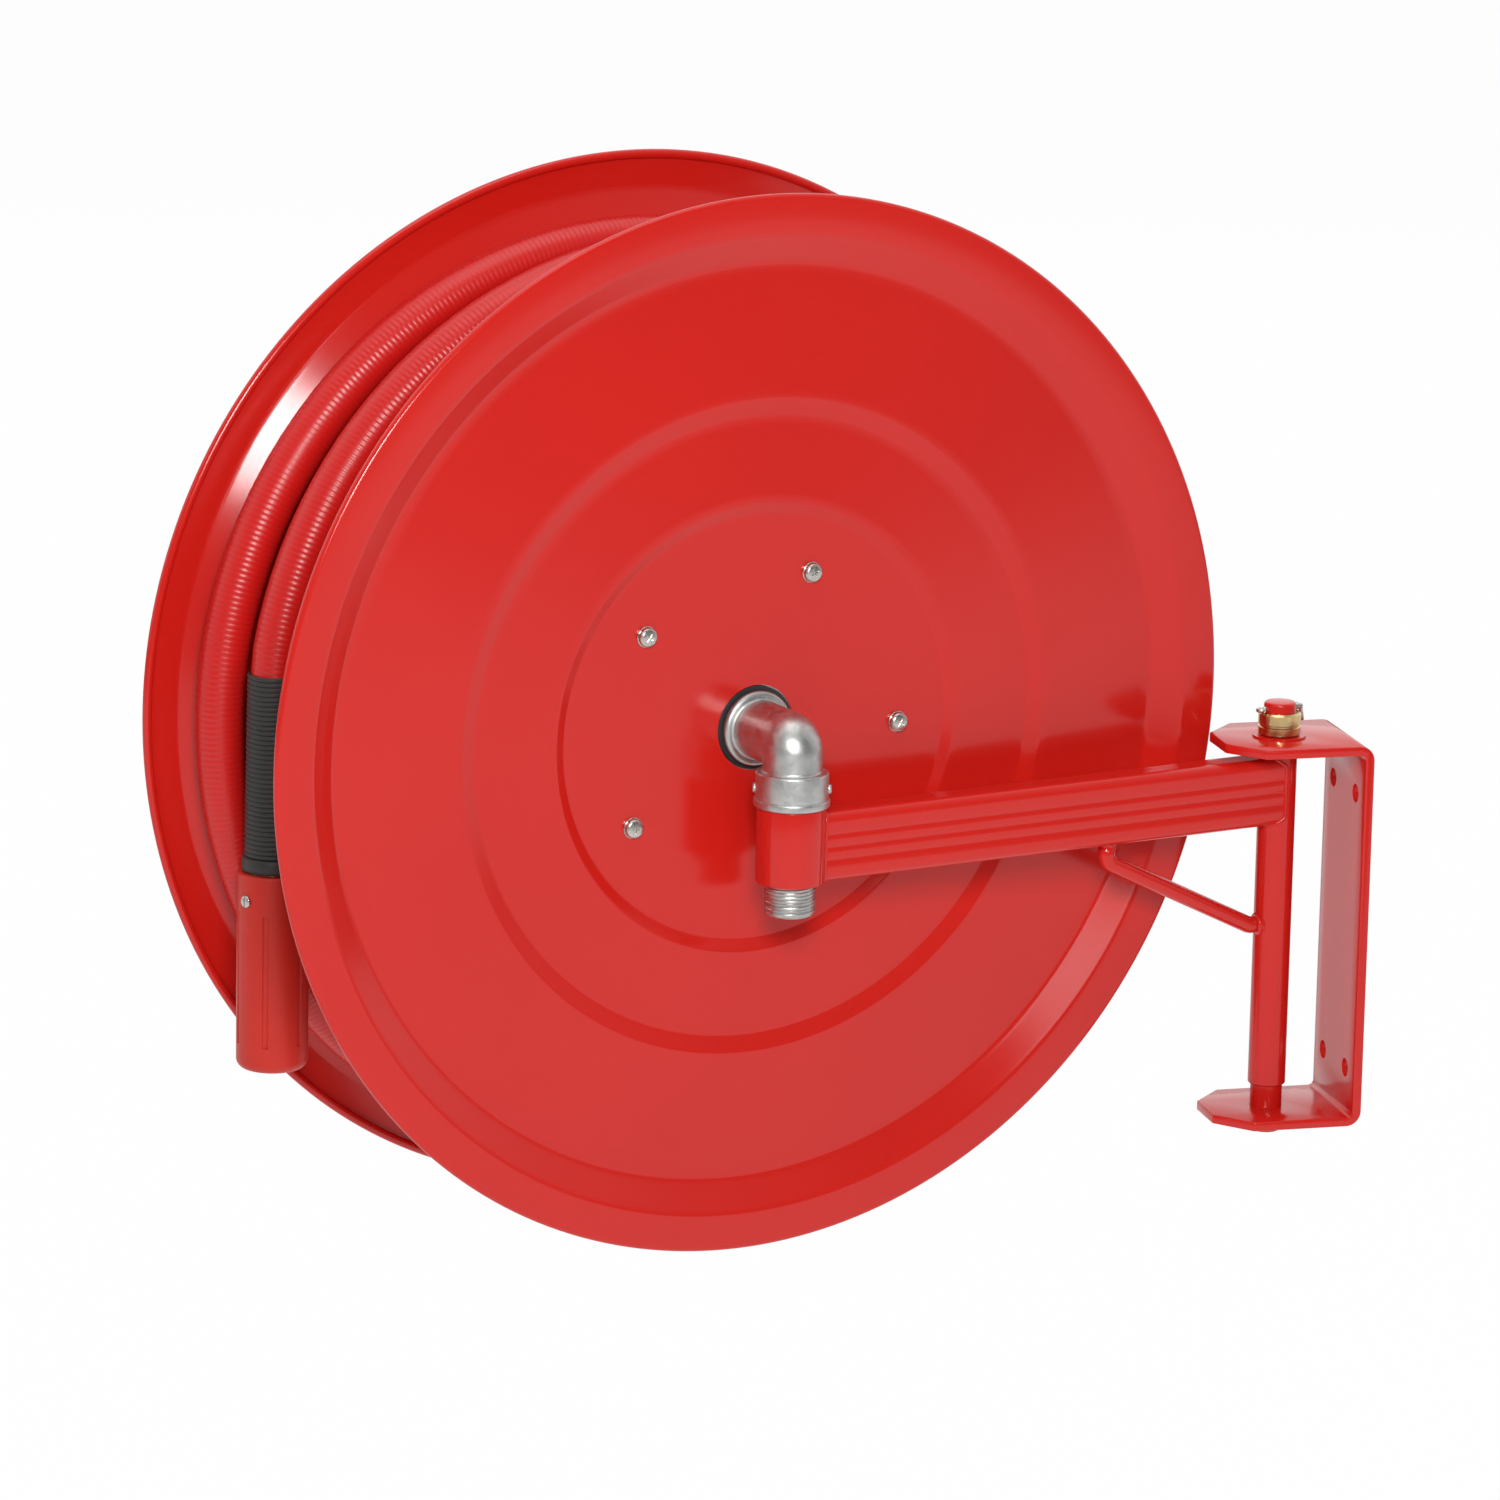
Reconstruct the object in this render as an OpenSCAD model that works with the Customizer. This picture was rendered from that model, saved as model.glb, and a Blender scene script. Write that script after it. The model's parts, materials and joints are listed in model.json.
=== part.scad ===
// Swinging fire hose reel on a folded wall bracket.
// X points into the wall, Y runs along it and Z is up. The origin is the centre of
// the four wall bolts, on the back face of the bracket. All lengths are millimetres.

/* [Wall bracket] */
// Height of the bracket over its two lugs
bracket_h = 207; // [206:1:240]
// Width of the bracket along the wall
bracket_w = 65; // [60:1:72]
// Thickness of the folded plate
plate_t = 5; // [4:0.5:6]
// Outside radius of the two folds
fold_r = 8; // [7:0.5:10]
// Distance from the wall to the pivot axis
pivot_x = 42.5; // [40:0.5:60]
// Reach of the lugs past the pivot axis
lug_reach = 34; // [30:0.5:34.5]
// Length of the cut corners of the lugs
lug_cut = 17; // [15:0.5:20]
// Distance between the wall bolts along the wall
bolt_dy = 36; // [30:1:40]
// Distance between the wall bolts in height
bolt_dz = 150; // [120:1:160]
// Diameter of the wall bolt holes
bolt_d = 10; // [8:0.5:12]

/* [Swing pivot] */
// Angle that the arm stands away from square to the wall
arm_angle = 15; // [0:1:30]
// Outside diameter of the post tube
post_d = 20; // [19.5:0.5:21]
// Height of the post tube's foot above the lower lug
post_foot = 12.2; // [8:0.2:20]
// Diameter of the pivot shaft
shaft_d = 17; // [15:0.5:17]
// Length of shaft that stands out above the upper lug
shaft_top = 18.6; // [18:0.1:22]
// Length of shaft that stands out below the lower lug
shaft_tail = 8.5; // [4:0.5:12]
// Outside diameter of the two lug bushes
bush_d = 26; // [23:0.5:28]
// Diameter of the flange of the upper bush
bush_flange_d = 28.5; // [28.5:0.5:31]
// Thickness of the flange of the upper bush
bush_flange_t = 1; // [0.8:0.1:1.4]
// Outside diameter of the thrust collar
collar_d = 22.6; // [21:0.2:25]
// Height of the thrust collar
collar_h = 12; // [10:0.2:12.4]
// Diameter of the split pin's wire pair
split_d = 3.2; // [2.4:0.1:3.4]

/* [Arm] */
// Distance from the pivot axis to the reel axis
reach = 296.5; // [296:0.5:310]
// Distance from the arm's middle plane to the rim of the front disc
arm_gap = 32; // [32:0.5:45]
// Height of the reel axis above the top of the bracket
axis_rise = 26.1; // [24:0.1:30]
// Depth of the arm below the reel axis
arm_drop = 54.5; // [53:0.5:56]
// Height of the arm tube
arm_h = 36.6; // [34:0.2:38]
// Thickness of the arm tube
arm_t = 20; // [18:0.5:20]
// Wall of the arm tube
arm_wall = 2; // [1.5:0.25:3]
// Corner radius of the arm tube
arm_r = 5; // [4:0.5:6]
// Number of pressed grooves on each side of the arm
groove_n = 3; // [0:1:4]
// Width of a pressed groove
groove_w = 1.6; // [1:0.1:2]
// Depth of a pressed groove
groove_deep = 0.7; // [0.3:0.1:1]
// Diameter of the brace rod
brace_d = 9; // [8:0.5:10]
// Distance from the reel axis to the top of the brace
brace_x = 191; // [170:1:210]
// Height of the brace on the post, below the reel axis
brace_z = 127.5; // [115:0.5:140]
// Length of the brace's upright end under the arm
brace_neck = 10; // [8:0.5:14]
// Length of the brace's level end at the post
brace_foot = 5; // [4:0.5:10]

/* [Water way] */
// Diameter of the pipe thread at the inlet
pipe_d = 26.4; // [26:0.1:27]
// Bore of the water way
way_d = 17; // [14:0.5:18]
// Length of inlet thread below the sleeve
inlet_l = 17; // [12:0.5:25]
// Diameter of the sleeve that holds the inlet
sleeve_d = 35.8; // [34:0.2:37]
// Length of the sleeve that holds the inlet
sleeve_l = 40; // [38:0.5:42]
// Diameter of the elbow's legs
elbow_d = 30.6; // [30:0.2:34]
// Distance from the elbow's centre down to its lower end
elbow_l = 32.5; // [32:0.5:33]
// Distance from the elbow's centre to its end at the reel
elbow_run = 39; // [38:0.5:39]
// Diameter of the elbow's end beads
bead_d = 39.2; // [38:0.2:40]
// Height of the elbow's lower collar
elbow_collar = 18; // [14:0.5:20]
// Depth of the elbow's two sockets
socket_l = 14.5; // [12:0.5:15]
// Diameter of the spindle that the reel turns on
spindle_d = 25.9; // [25:0.1:26]
// Distance from the front rim to the inner end of the spindle
spindle_end = 76; // [75:0.5:80]
// Thickness of an O-ring
o_ring_d = 2.5; // [2:0.1:2.6]

/* [Reel] */
// Diameter of the two discs
disc_d = 553; // [545:1:556]
// Distance between the rims of the two discs
reel_w = 155; // [150:1:170]
// Thickness of the disc sheet
sheet_t = 1.2; // [1:0.1:1.5]
// Radius of the rolled rim
curl_r = 2.4; // [2:0.1:3]
// Radius of the foot of the outer pressed band
band_foot_r = 239; // [232:1:242]
// Radius of the crest of the outer pressed band
band_crest_r = 257; // [252:1:262]
// Radius of the middle pressed step
step_r = 167; // [163:1:175]
// Radius of the inner pressed step
ring_r = 116; // [114:1:125]
// Depth of the foot of the outer band behind the rim
field_deep = 9; // [7:0.5:11]
// Depth of the middle step's crest behind the rim
step_deep = 3.5; // [3:0.5:6]
// Depth of the middle step's foot behind the rim
step_foot_deep = 6; // [4:0.5:6.5]
// Depth of the inner step's crest behind the rim
ring_deep = 3.5; // [2.5:0.5:5.5]
// Depth of the middle of the disc behind the rim
centre_deep = 6; // [5:0.5:6.5]
// Diameter of the hole in the middle of each disc
eye_d = 44.6; // [44.6:0.2:50]
// Radius of the circle of screws
screw_pcr = 84.4; // [75:0.2:90]
// Turn of the first screw from the arm's line
screw_a0 = 68.5; // [0:0.5:72]
// Number of screws on each disc
screw_n = 5; // [4:1:6]
// Diameter of the screws
screw_d = 5; // [4:0.5:6]
// Length of the screws under their heads
screw_l = 11; // [10:0.5:14]
// Height of the screw heads
head_h = 3; // [2.4:0.1:3.4]
// Thickness of the washers
washer_t = 1; // [0.8:0.1:1.2]
// Height of the nuts
nut_h = 4; // [3:0.25:5]
// Radius of the drum that carries the hose
drum_r = 110; // [104:0.5:111]
// Thickness of the drum's sheet
drum_t = 1.5; // [1:0.1:2]
// Radius of the two hub flanges
flange_r = 98; // [92:0.5:100]
// Thickness of the two hub flanges
flange_t = 3; // [2.5:0.5:4]
// Diameter of the hub
hub_d = 44; // [43:0.2:44]
// Radius of the hub's inner chamber
chamber_r = 16; // [15.6:0.1:17]
// Distance from the reel axis to the hub outlet's line
outlet_r = 62; // [56:1:66]
// Distance from the front rim to the hub outlet
outlet_y = 92; // [90:0.5:94]
// Length of the outlet's stub beside the hub
stub_l = 16; // [15:1:20]
// Length of the outlet's tail inside the hose
barb_l = 46; // [40:1:50]
// Width of the hose clamp
clamp_w = 10; // [8:0.5:12]

/* [Hose] */
// Outside diameter of the hose
hose_d = 25; // [24:0.5:25]
// Bore of the hose
hose_bore = 19; // [18:0.5:19]
// Radius of the outer layer of turns, at their middle
layer_r = 205; // [200:1:207]
// Rise of the top turn over the outer layer
crest_rise = 38; // [36:0.5:40]
// Rise of the free end over the outer layer
tail_rise = 25; // [24.8:0.1:26]
// Height at which the hose's free end starts to run straight down
tail_top = 31; // [25:1:35]
// Length of the black grip sleeve
grip_l = 102; // [95:1:110]
// Diameter of the grip sleeve at the nozzle
grip_d = 30; // [29:0.2:30]
// Diameter of the grip sleeve at its upper end
grip_top_d = 27.2; // [27:0.1:28]
// Number of ribs on the grip sleeve
grip_ribs = 38; // [20:1:40]

/* [Nozzle] */
// Diameter of the nozzle barrel
barrel_d = 37; // [35:0.5:37]
// Length of the nozzle barrel
barrel_l = 105; // [98:1:110]
// Number of flutes on the barrel
flute_n = 6; // [4:1:8]
// Turn of the first flute from the guide screw
flute_turn = 35; // [30:1:60]
// Radius of a flute
flute_r = 2; // [1.5:0.1:3]
// Depth of a flute
flute_deep = 0.9; // [0.5:0.1:1.2]
// Diameter of the stem that the barrel turns on
stem_d = 27; // [25:0.5:28]
// Turn of the guide screw from straight outwards
guide_turn = 17; // [0:1:30]

/* [Hidden] */

// Clearances
run_gap = 0.1;      // radial gap of a running fit
seat_gap = 0.05;    // radial gap of a screwed or pressed fit
free_gap = 0.3;     // gap between faces that slide past each other
eye_gap = 0.7;      // gap between the spacer and the eye of the disc
lay_gap = 0.6;      // gap between the hose and what it lies on
far = 400;          // longer than any cut needs

// Derived sizes
lug_z = bracket_h / 2;
axis_h = lug_z + axis_rise;
shaft_r = shaft_d / 2;
disc_r = disc_d / 2;
hose_r = hose_d / 2;
crest_r = layer_r + crest_rise;
tail_r = layer_r + tail_rise;
hose_gap = 0.6;
loop_rings = 24;    // rings of points in one turn of the hose
hose_sides = 6;     // points in each ring
hose_pitch = hose_d + hose_gap;
field_front = field_deep + sheet_t;
field_rear = reel_w - field_front;
flat_front = centre_deep + sheet_t;
flat_rear = reel_w - flat_front;
front_y = field_front + hose_r + lay_gap;
rear_y = field_rear - hose_r - lay_gap;
tail_y = rear_y - hose_r - barrel_d / 2 - 0.5;
tail_x = -sqrt(tail_r * tail_r - tail_top * tail_top);
barrel_top = tail_top - grip_l;
pack_r = layer_r * cos(180 / loop_rings) - hose_r - lay_gap;
hub_y0 = flat_front + 1.8;
spindle_y0 = elbow_run - arm_gap;
shoulder_y = spindle_end - 4;
chamber_end = outlet_y + 20;
collar_z = lug_z + bush_flange_t + free_gap;
round_fn = 96;
big_fn = 180;
neck_r = pipe_d / 2 - 0.4;
bolt_clear = 0.25;
bead_w = 5;         // width of the elbow's end beads
boss_r = 2.4;       // radius of the elbow's two bosses
o_ring_ys = [30, 46];

// --- Frames ---------------------------------------------------------------

// From the reel's own frame (axis along Y, front rim at y = 0) to its place.
module on_arm() {
    translate([-pivot_x, 0, 0]) rotate([0, 0, arm_angle])
        translate([-reach, arm_gap, axis_h]) children();
}

// From a frame on the pivot axis that turns with the arm, at the bolts' height.
module on_pivot() {
    translate([-pivot_x, 0, 0]) rotate([0, 0, arm_angle]) children();
}

// From a frame at the elbow's centre, in the arm's middle plane.
module at_elbow() { on_arm() translate([0, -arm_gap, 0]) children(); }

// From a frame on the nozzle's axis, with z = 0 at the reel axis' height.
module on_nozzle() { on_arm() translate([tail_x, tail_y, 0]) children(); }

// A profile of radius and depth, turned about the reel axis.
module turned(fn = big_fn) {
    rotate([-90, 0, 0]) rotate_extrude($fn = fn) children();
}

// A disc or tube about the reel axis, from y0 to y1.
module ring_y(y0, y1, r_out, r_in = 0, fn = round_fn) {
    turned(fn) translate([r_in, y0]) square([r_out - r_in, y1 - y0]);
}

// An upright tube from z0 to z1.
module tube_z(z0, z1, r_out, r_in = 0, fn = round_fn) {
    translate([0, 0, z0]) difference() {
        cylinder(r = r_out, h = z1 - z0, $fn = fn);
        if (r_in > 0) translate([0, 0, -1]) cylinder(r = r_in, h = z1 - z0 + 2, $fn = fn);
    }
}

// A round bar between two points, with a ball at each end if asked.
module bar(p, q, r, balls = false, fn = 48) {
    d = q - p;
    l = norm(d);
    translate(p) rotate([0, acos(d[2] / l), atan2(d[1], d[0])]) cylinder(r = r, h = l, $fn = fn);
    if (balls) for (c = [p, q]) translate(c) sphere(r = r, $fn = fn);
}

// One copy at each screw place of a disc.
module at_screws(y) {
    for (k = [0 : screw_n - 1]) {
        a = screw_a0 + k * 360 / screw_n;
        translate([screw_pcr * cos(a), y, screw_pcr * sin(a)]) children();
    }
}

// A flat rectangle with round corners.
module round_rect(w, h, r) {
    square([w - 2 * r, h], center = true);
    square([w, h - 2 * r], center = true);
    for (x = [-1, 1], y = [-1, 1])
        translate([x * (w / 2 - r), y * (h / 2 - r)]) circle(r = r, $fn = 48);
}

// --- Wall bracket -----------------------------------------------------------

// Outline of a lug seen from above, with its outer corners cut.
module lug_plan() {
    w = bracket_w / 2;
    x0 = -pivot_x - lug_reach;
    polygon([[1, -w], [1, w], [x0 + lug_cut, w], [x0, w - lug_cut - 2],
             [x0, -w + lug_cut + 2], [x0 + lug_cut, -w]]);
}

// Side view of the folded plate: a U that is open away from the wall.
module fold_profile() {
    z = bracket_h / 2;
    r = fold_r;
    ri = fold_r - plate_t;
    difference() {
        union() {
            translate([-far / 2 - r, -z]) square([far / 2, 2 * z]);
            translate([-r - 1, -z + r]) square([r + 1, 2 * (z - r)]);
            for (s = [-1, 1]) translate([-r, s * (z - r)]) circle(r = r, $fn = 64);
        }
        translate([-far, -z + plate_t + ri]) square([far - plate_t, 2 * (z - plate_t - ri)]);
        translate([-far, -z + plate_t]) square([far - plate_t - ri, 2 * (z - plate_t)]);
        for (s = [-1, 1]) translate([-plate_t - ri, s * (z - plate_t - ri)])
            circle(r = ri, $fn = 64);
    }
}

module wall_bracket() {
    color("firebrick") difference() {
        intersection() {
            rotate([90, 0, 0]) linear_extrude(bracket_w, center = true) fold_profile();
            translate([0, 0, -bracket_h]) linear_extrude(2 * bracket_h) lug_plan();
        }
        for (y = [-1, 1], z = [-1, 1])
            translate([-2 * plate_t, y * bolt_dy / 2, z * bolt_dz / 2])
                rotate([0, 90, 0]) cylinder(d = bolt_d, h = 4 * plate_t, $fn = 48);
        for (s = [-1, 1]) translate([-pivot_x, 0, s * (lug_z - plate_t / 2)])
            cylinder(d = bush_d, h = 2 * plate_t, center = true, $fn = round_fn);
    }
}

// Bush pressed into the upper lug, with a flange that carries the thrust collar.
module upper_bush() {
    color("firebrick") on_pivot() {
        tube_z(lug_z - plate_t, lug_z, bush_d / 2, shaft_r + run_gap);
        tube_z(lug_z, lug_z + bush_flange_t, bush_flange_d / 2, shaft_r + run_gap);
    }
}

module lower_bush() {
    color("firebrick") on_pivot()
        tube_z(-lug_z, -lug_z + plate_t, bush_d / 2, shaft_r + run_gap);
}

// --- Arm --------------------------------------------------------------------

module post_tube() {
    z0 = -lug_z + plate_t + post_foot;
    z1 = lug_z - plate_t - free_gap;
    color("firebrick") on_pivot() tube_z(z0, z1, post_d / 2, shaft_r);
}

module pivot_shaft() {
    z0 = -lug_z - shaft_tail;
    z1 = lug_z + shaft_top;
    tip = 2;
    color("firebrick") on_pivot() difference() {
        rotate_extrude($fn = round_fn) polygon([
            [0, z0], [shaft_r - tip, z0], [shaft_r, z0 + tip],
            [shaft_r, z1 - tip], [shaft_r - tip, z1], [0, z1]]);
        translate([0, 0, split_z()]) rotate([0, 90, 0])
            cylinder(d = split_d + 0.2, h = 3 * shaft_d, center = true, $fn = 32);
    }
}

// Height of the split pin, which rests on the thrust collar.
function split_z() = collar_z + collar_h + split_d / 2;

module thrust_collar() {
    color("goldenrod") on_pivot()
        tube_z(collar_z, collar_z + collar_h, collar_d / 2, shaft_r + seat_gap);
}

module split_pin() {
    r = split_d / 2;
    wire_r = r * 0.7;
    eye_r = 2;
    eye_x = -shaft_r - 1;
    end_x = collar_d / 2 + wire_r + free_gap;
    color("darkgray") on_pivot() translate([0, 0, split_z()]) {
        bar([eye_x, 0, 0], [end_x, 0, 0], r, true, 32);
        bar([end_x, 0, 0], [end_x + 1.5, 0, -7], wire_r, true, 32);
        bar([end_x, 0, 0], [end_x + 1, 4.5, 0], wire_r, true, 32);
        translate([eye_x - eye_r, 0, 0])
            rotate_extrude($fn = 48) translate([eye_r, 0]) circle(r = wire_r, $fn = 24);
    }
}

// Cross-section of the arm tube, with its pressed grooves.
module arm_section() {
    difference() {
        round_rect(arm_t, arm_h, arm_r);
        round_rect(arm_t - 2 * arm_wall, arm_h - 2 * arm_wall, arm_r - arm_wall);
        pitch = (arm_h - 2 * arm_r) / (groove_n + 1);
        for (s = [-1, 1], k = [1 : 1 : groove_n])
            translate([s * arm_t / 2, k * pitch - arm_h / 2 + arm_r])
                square([2 * groove_deep, groove_w], center = true);
    }
}

module arm_tube() {
    color("firebrick") at_elbow() difference() {
        translate([0, 0, -arm_drop]) rotate([90, 0, 90]) linear_extrude(reach) arm_section();
        translate([0, 0, -far]) cylinder(d = sleeve_d, h = far, $fn = round_fn);
        translate([reach, 0, -far]) cylinder(d = post_d, h = far, $fn = round_fn);
    }
}

module brace_rod() {
    r = brace_d / 2;
    top = -arm_drop - arm_h / 2;
    foot = reach - post_d / 2 - brace_foot;
    path = [[brace_x, 0, top], [brace_x, 0, top - brace_neck],
            [foot, 0, -brace_z], [reach, 0, -brace_z]];
    color("firebrick") at_elbow() difference() {
        union() {
            for (i = [0 : len(path) - 2]) bar(path[i], path[i + 1], r);
            for (i = [1 : len(path) - 2]) translate(path[i]) sphere(r = r, $fn = 48);
        }
        translate([reach, 0, -far]) cylinder(d = post_d, h = far, $fn = round_fn);
    }
}

// --- Water way ----------------------------------------------------------------

module inlet_sleeve() {
    color("firebrick") at_elbow()
        tube_z(-elbow_l - sleeve_l, -elbow_l, sleeve_d / 2, neck_r + seat_gap);
}

module inlet_nipple() {
    z0 = -elbow_l - sleeve_l - inlet_l;
    z_neck = -elbow_l - sleeve_l - 1;
    z1 = -elbow_l + socket_l - 0.5;
    r = pipe_d / 2;
    w = way_d / 2;
    c = 1.2;
    color("silver") at_elbow() rotate_extrude($fn = round_fn) polygon([
        [w, z0], [r - c, z0], [r, z0 + c], [r, z_neck], [neck_r, z_neck],
        [neck_r, z1 - c], [neck_r - c, z1], [w, z1]]);
}

// The elbow's round corner and two legs, of radius r, drawn out past its ends by more.
module elbow_legs(r, more = 0) {
    sphere(r = r, $fn = round_fn);
    ring_y(0, elbow_run + more, r);
    tube_z(-elbow_l - more, 0, r);
}

module inlet_elbow() {
    b = bead_d / 2;
    boss_z = -elbow_l + elbow_collar / 2;
    color("silver") at_elbow() difference() {
        union() {
            elbow_legs(elbow_d / 2);
            ring_y(elbow_run - bead_w, elbow_run, b);
            tube_z(-elbow_l, -elbow_l + elbow_collar, b - 0.6);
            tube_z(-elbow_l, -elbow_l + bead_w, b);
            for (a = [-30, 150]) rotate([0, 0, a])
                bar([0, 0, boss_z], [b + 0.9, 0, boss_z], boss_r, false, 32);
        }
        elbow_legs(way_d / 2, 1);
        ring_y(elbow_run - socket_l, elbow_run + 1, pipe_d / 2 + seat_gap);
        tube_z(-elbow_l - 1, -elbow_l + socket_l, neck_r + seat_gap);
    }
}

module spindle() {
    y0 = spindle_y0 - socket_l + 0.5;
    r = spindle_d / 2;
    w = way_d / 2;
    color("goldenrod") on_arm() difference() {
        union() {
            ring_y(y0, spindle_y0, pipe_d / 2, w);
            ring_y(spindle_y0, spindle_end, r, w);
        }
        for (y = o_ring_ys)
            ring_y(y - o_ring_d / 2 - 0.2, y + o_ring_d / 2 + 0.2, r + 1, r - o_ring_d);
        ring_y(shoulder_y + 0.4, shoulder_y + 1.8, r + 1, r - 1);
    }
}

// Nylon spacer between the elbow and the hub, in the eye of the front disc.
module spindle_spacer() {
    color("dimgray") on_arm()
        ring_y(spindle_y0, hub_y0 - free_gap, eye_d / 2 - eye_gap, spindle_d / 2 + seat_gap);
}

module spindle_o_rings() {
    r = spindle_d / 2 - o_ring_d / 2 + 0.05;
    color("black") on_arm() for (y = o_ring_ys)
        turned(round_fn) translate([r, y]) circle(d = o_ring_d - 0.1, $fn = 24);
}

module spindle_circlip() {
    color("darkgray") on_arm() difference() {
        ring_y(shoulder_y + 0.5, shoulder_y + 1.7, chamber_r - 1, spindle_d / 2 - 0.9);
        translate([0, shoulder_y, chamber_r]) cube([6, 20, chamber_r], center = true);
    }
}

// --- Reel ---------------------------------------------------------------------

// A smooth rise from 0 to 1.
function ease(u) = let (c = max(0, min(1, u))) c * c * (3 - 2 * c);

// Points of a smooth step from depth a at radius r0 to depth b at radius r1.
function step_points(r0, r1, a, b, n = 8) =
    [for (i = [0 : n]) [r0 + (r1 - r0) * i / n, a + (b - a) * ease(i / n)]];

// Outer face of a disc, from the eye to the start of its rolled rim.
function face_points() = concat(
    [[eye_d / 2, centre_deep]],
    step_points(ring_r - 5, ring_r + 2, centre_deep, ring_deep),
    step_points(step_r - 5, step_r + 5, step_foot_deep, step_deep),
    step_points(band_foot_r, band_crest_r, field_deep, 0));

// Points of the rolled rim, at radius r about its own middle.
function curl_points(r, a0 = -90, a1 = 180, n = 12) =
    [for (i = [0 : n]) let (a = a0 + (a1 - a0) * i / n)
        [disc_r - curl_r + r * cos(a), curl_r + r * sin(a)]];

function reversed(list) = [for (i = [len(list) - 1 : -1 : 0]) list[i]];

// Outline of a disc's sheet, in radius and depth behind the rim.
function disc_outline() =
    let (face = face_points())
    concat(face, curl_points(curl_r), reversed(curl_points(curl_r - sheet_t)),
           [for (p = reversed(face)) p + [0, sheet_t]]);

module disc_holes(y) {
    at_screws(y) rotate([90, 0, 0])
        cylinder(d = screw_d + 2 * bolt_clear, h = 12, center = true, $fn = 32);
}

module front_disc() {
    color("red") on_arm() difference() {
        turned() polygon(disc_outline());
        disc_holes(flat_front);
    }
}

module rear_disc() {
    color("red") on_arm() difference() {
        turned() polygon([for (p = disc_outline()) [p[0], reel_w - p[1]]]);
        disc_holes(flat_rear);
    }
}

// The hose starts beside the outlet's stub and ends in the innermost layer.
hose_in_gap = 0.5;
hose_in_x = sqrt(pow(drum_r, 2) - pow(outlet_r, 2)) + 14;

// Line of the hose where it passes through the drum.
module outlet_line(x, l, r) {
    translate([x, outlet_y, outlet_r]) rotate([0, -90, 0]) cylinder(r = r, h = l, $fn = 64);
}

module drum_core() {
    color("red") on_arm() difference() {
        ring_y(flat_front, flat_rear, drum_r, drum_r - drum_t, big_fn);
        outlet_line(0, far, hose_r + 1);
    }
}

module hub_flange(y) {
    color("silver") on_arm() difference() {
        ring_y(y, y + flange_t, flange_r, hub_d / 2);
        disc_holes(y);
    }
}

module front_flange() { hub_flange(flat_front); }
module rear_flange() { hub_flange(flat_rear - flange_t); }

module hub() {
    r = spindle_d / 2 + run_gap;
    color("silver") on_arm() difference() {
        ring_y(hub_y0, flat_rear + sheet_t + 1.2, hub_d / 2);
        ring_y(hub_y0 - 1, shoulder_y, r);
        ring_y(shoulder_y, chamber_end, chamber_r);
        translate([0, outlet_y, 0]) cylinder(r = tail_pipe_r() + seat_gap, h = hub_d, $fn = 48);
    }
}

// Outside radius of the outlet's pipe and of the tails that the hose fits over.
function tail_pipe_r() = hose_bore / 2 + 1.2;
function tail_bore_r() = hose_bore / 2 - 3;

module outlet_elbow() {
    r = tail_pipe_r();
    w = tail_bore_r();
    lip = 1.4;
    z0 = chamber_r + 1.5;
    turn = [0, 0, outlet_r];
    color("goldenrod") on_arm() translate([0, outlet_y, 0]) difference() {
        union() {
            tube_z(z0, outlet_r, r);
            translate(turn) sphere(r = r + lip, $fn = 64);
            bar(turn, [-stub_l, 0, outlet_r], r + lip);
            bar(turn, [-stub_l - barb_l, 0, outlet_r], hose_bore / 2);
        }
        tube_z(z0 - 1, outlet_r, w);
        bar(turn, [-stub_l - barb_l - 1, 0, outlet_r], w);
        translate(turn) sphere(r = w, $fn = 48);
    }
}

module hose_clamp() {
    r = hose_r + seat_gap;
    band = 1;
    ear = 8;
    place = [-stub_l - hose_in_gap - 2 * clamp_w, outlet_y, outlet_r];
    color("silver") on_arm() translate(place) rotate([0, 90, 0]) {
        tube_z(-clamp_w / 2, clamp_w / 2, r + band, r);
        difference() {
            translate([-r - ear / 2, 0, 0]) cube([ear, 1.5 * ear, 0.9 * clamp_w], center = true);
            tube_z(-clamp_w, clamp_w, r + 0.9 * band);
        }
        translate([-r - 0.6 * ear, 0, 0]) rotate([90, 0, 0])
            cylinder(d = clamp_w / 2, h = 2 * ear, center = true, $fn = 32);
    }
}

module hose_inner_end() {
    x0 = stub_l + hose_in_gap;
    color("crimson") on_arm() difference() {
        outlet_line(-x0, hose_in_x - x0, hose_r);
        outlet_line(-x0 + 1, far, hose_bore / 2);
    }
}

// Cross-headed screw that points along -Z, with its head above z = 0.
module pan_screw(l) {
    r = screw_d / 2;
    difference() {
        union() {
            cylinder(r1 = screw_d * 0.92, r2 = screw_d * 0.72, h = head_h, $fn = 48);
            translate([0, 0, -l]) cylinder(r = r, h = l + 0.5, $fn = 32);
        }
        for (a = [0, 90]) rotate([0, 0, a])
            translate([0, 0, head_h]) cube([screw_d * 1.1, screw_d / 5, head_h * 0.8], center = true);
    }
}

// Each screw stands at a turn of its own.
module screw_set(y, out) {
    color("silver") on_arm() at_screws(y) rotate([90 * out, 0, 0])
        rotate([0, 0, 25]) pan_screw(screw_l);
}

module front_screws() { screw_set(centre_deep - washer_t, 1); }
module rear_screws() { screw_set(reel_w - centre_deep + washer_t, -1); }

module washer_set(y) {
    color("silver") on_arm() at_screws(y) rotate([90, 0, 0])
        tube_z(0, washer_t, screw_d * 1.1, screw_d / 2 + bolt_clear, 48);
}

module front_washers() { washer_set(centre_deep); }
module rear_washers() { washer_set(reel_w - centre_deep + washer_t); }

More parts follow.
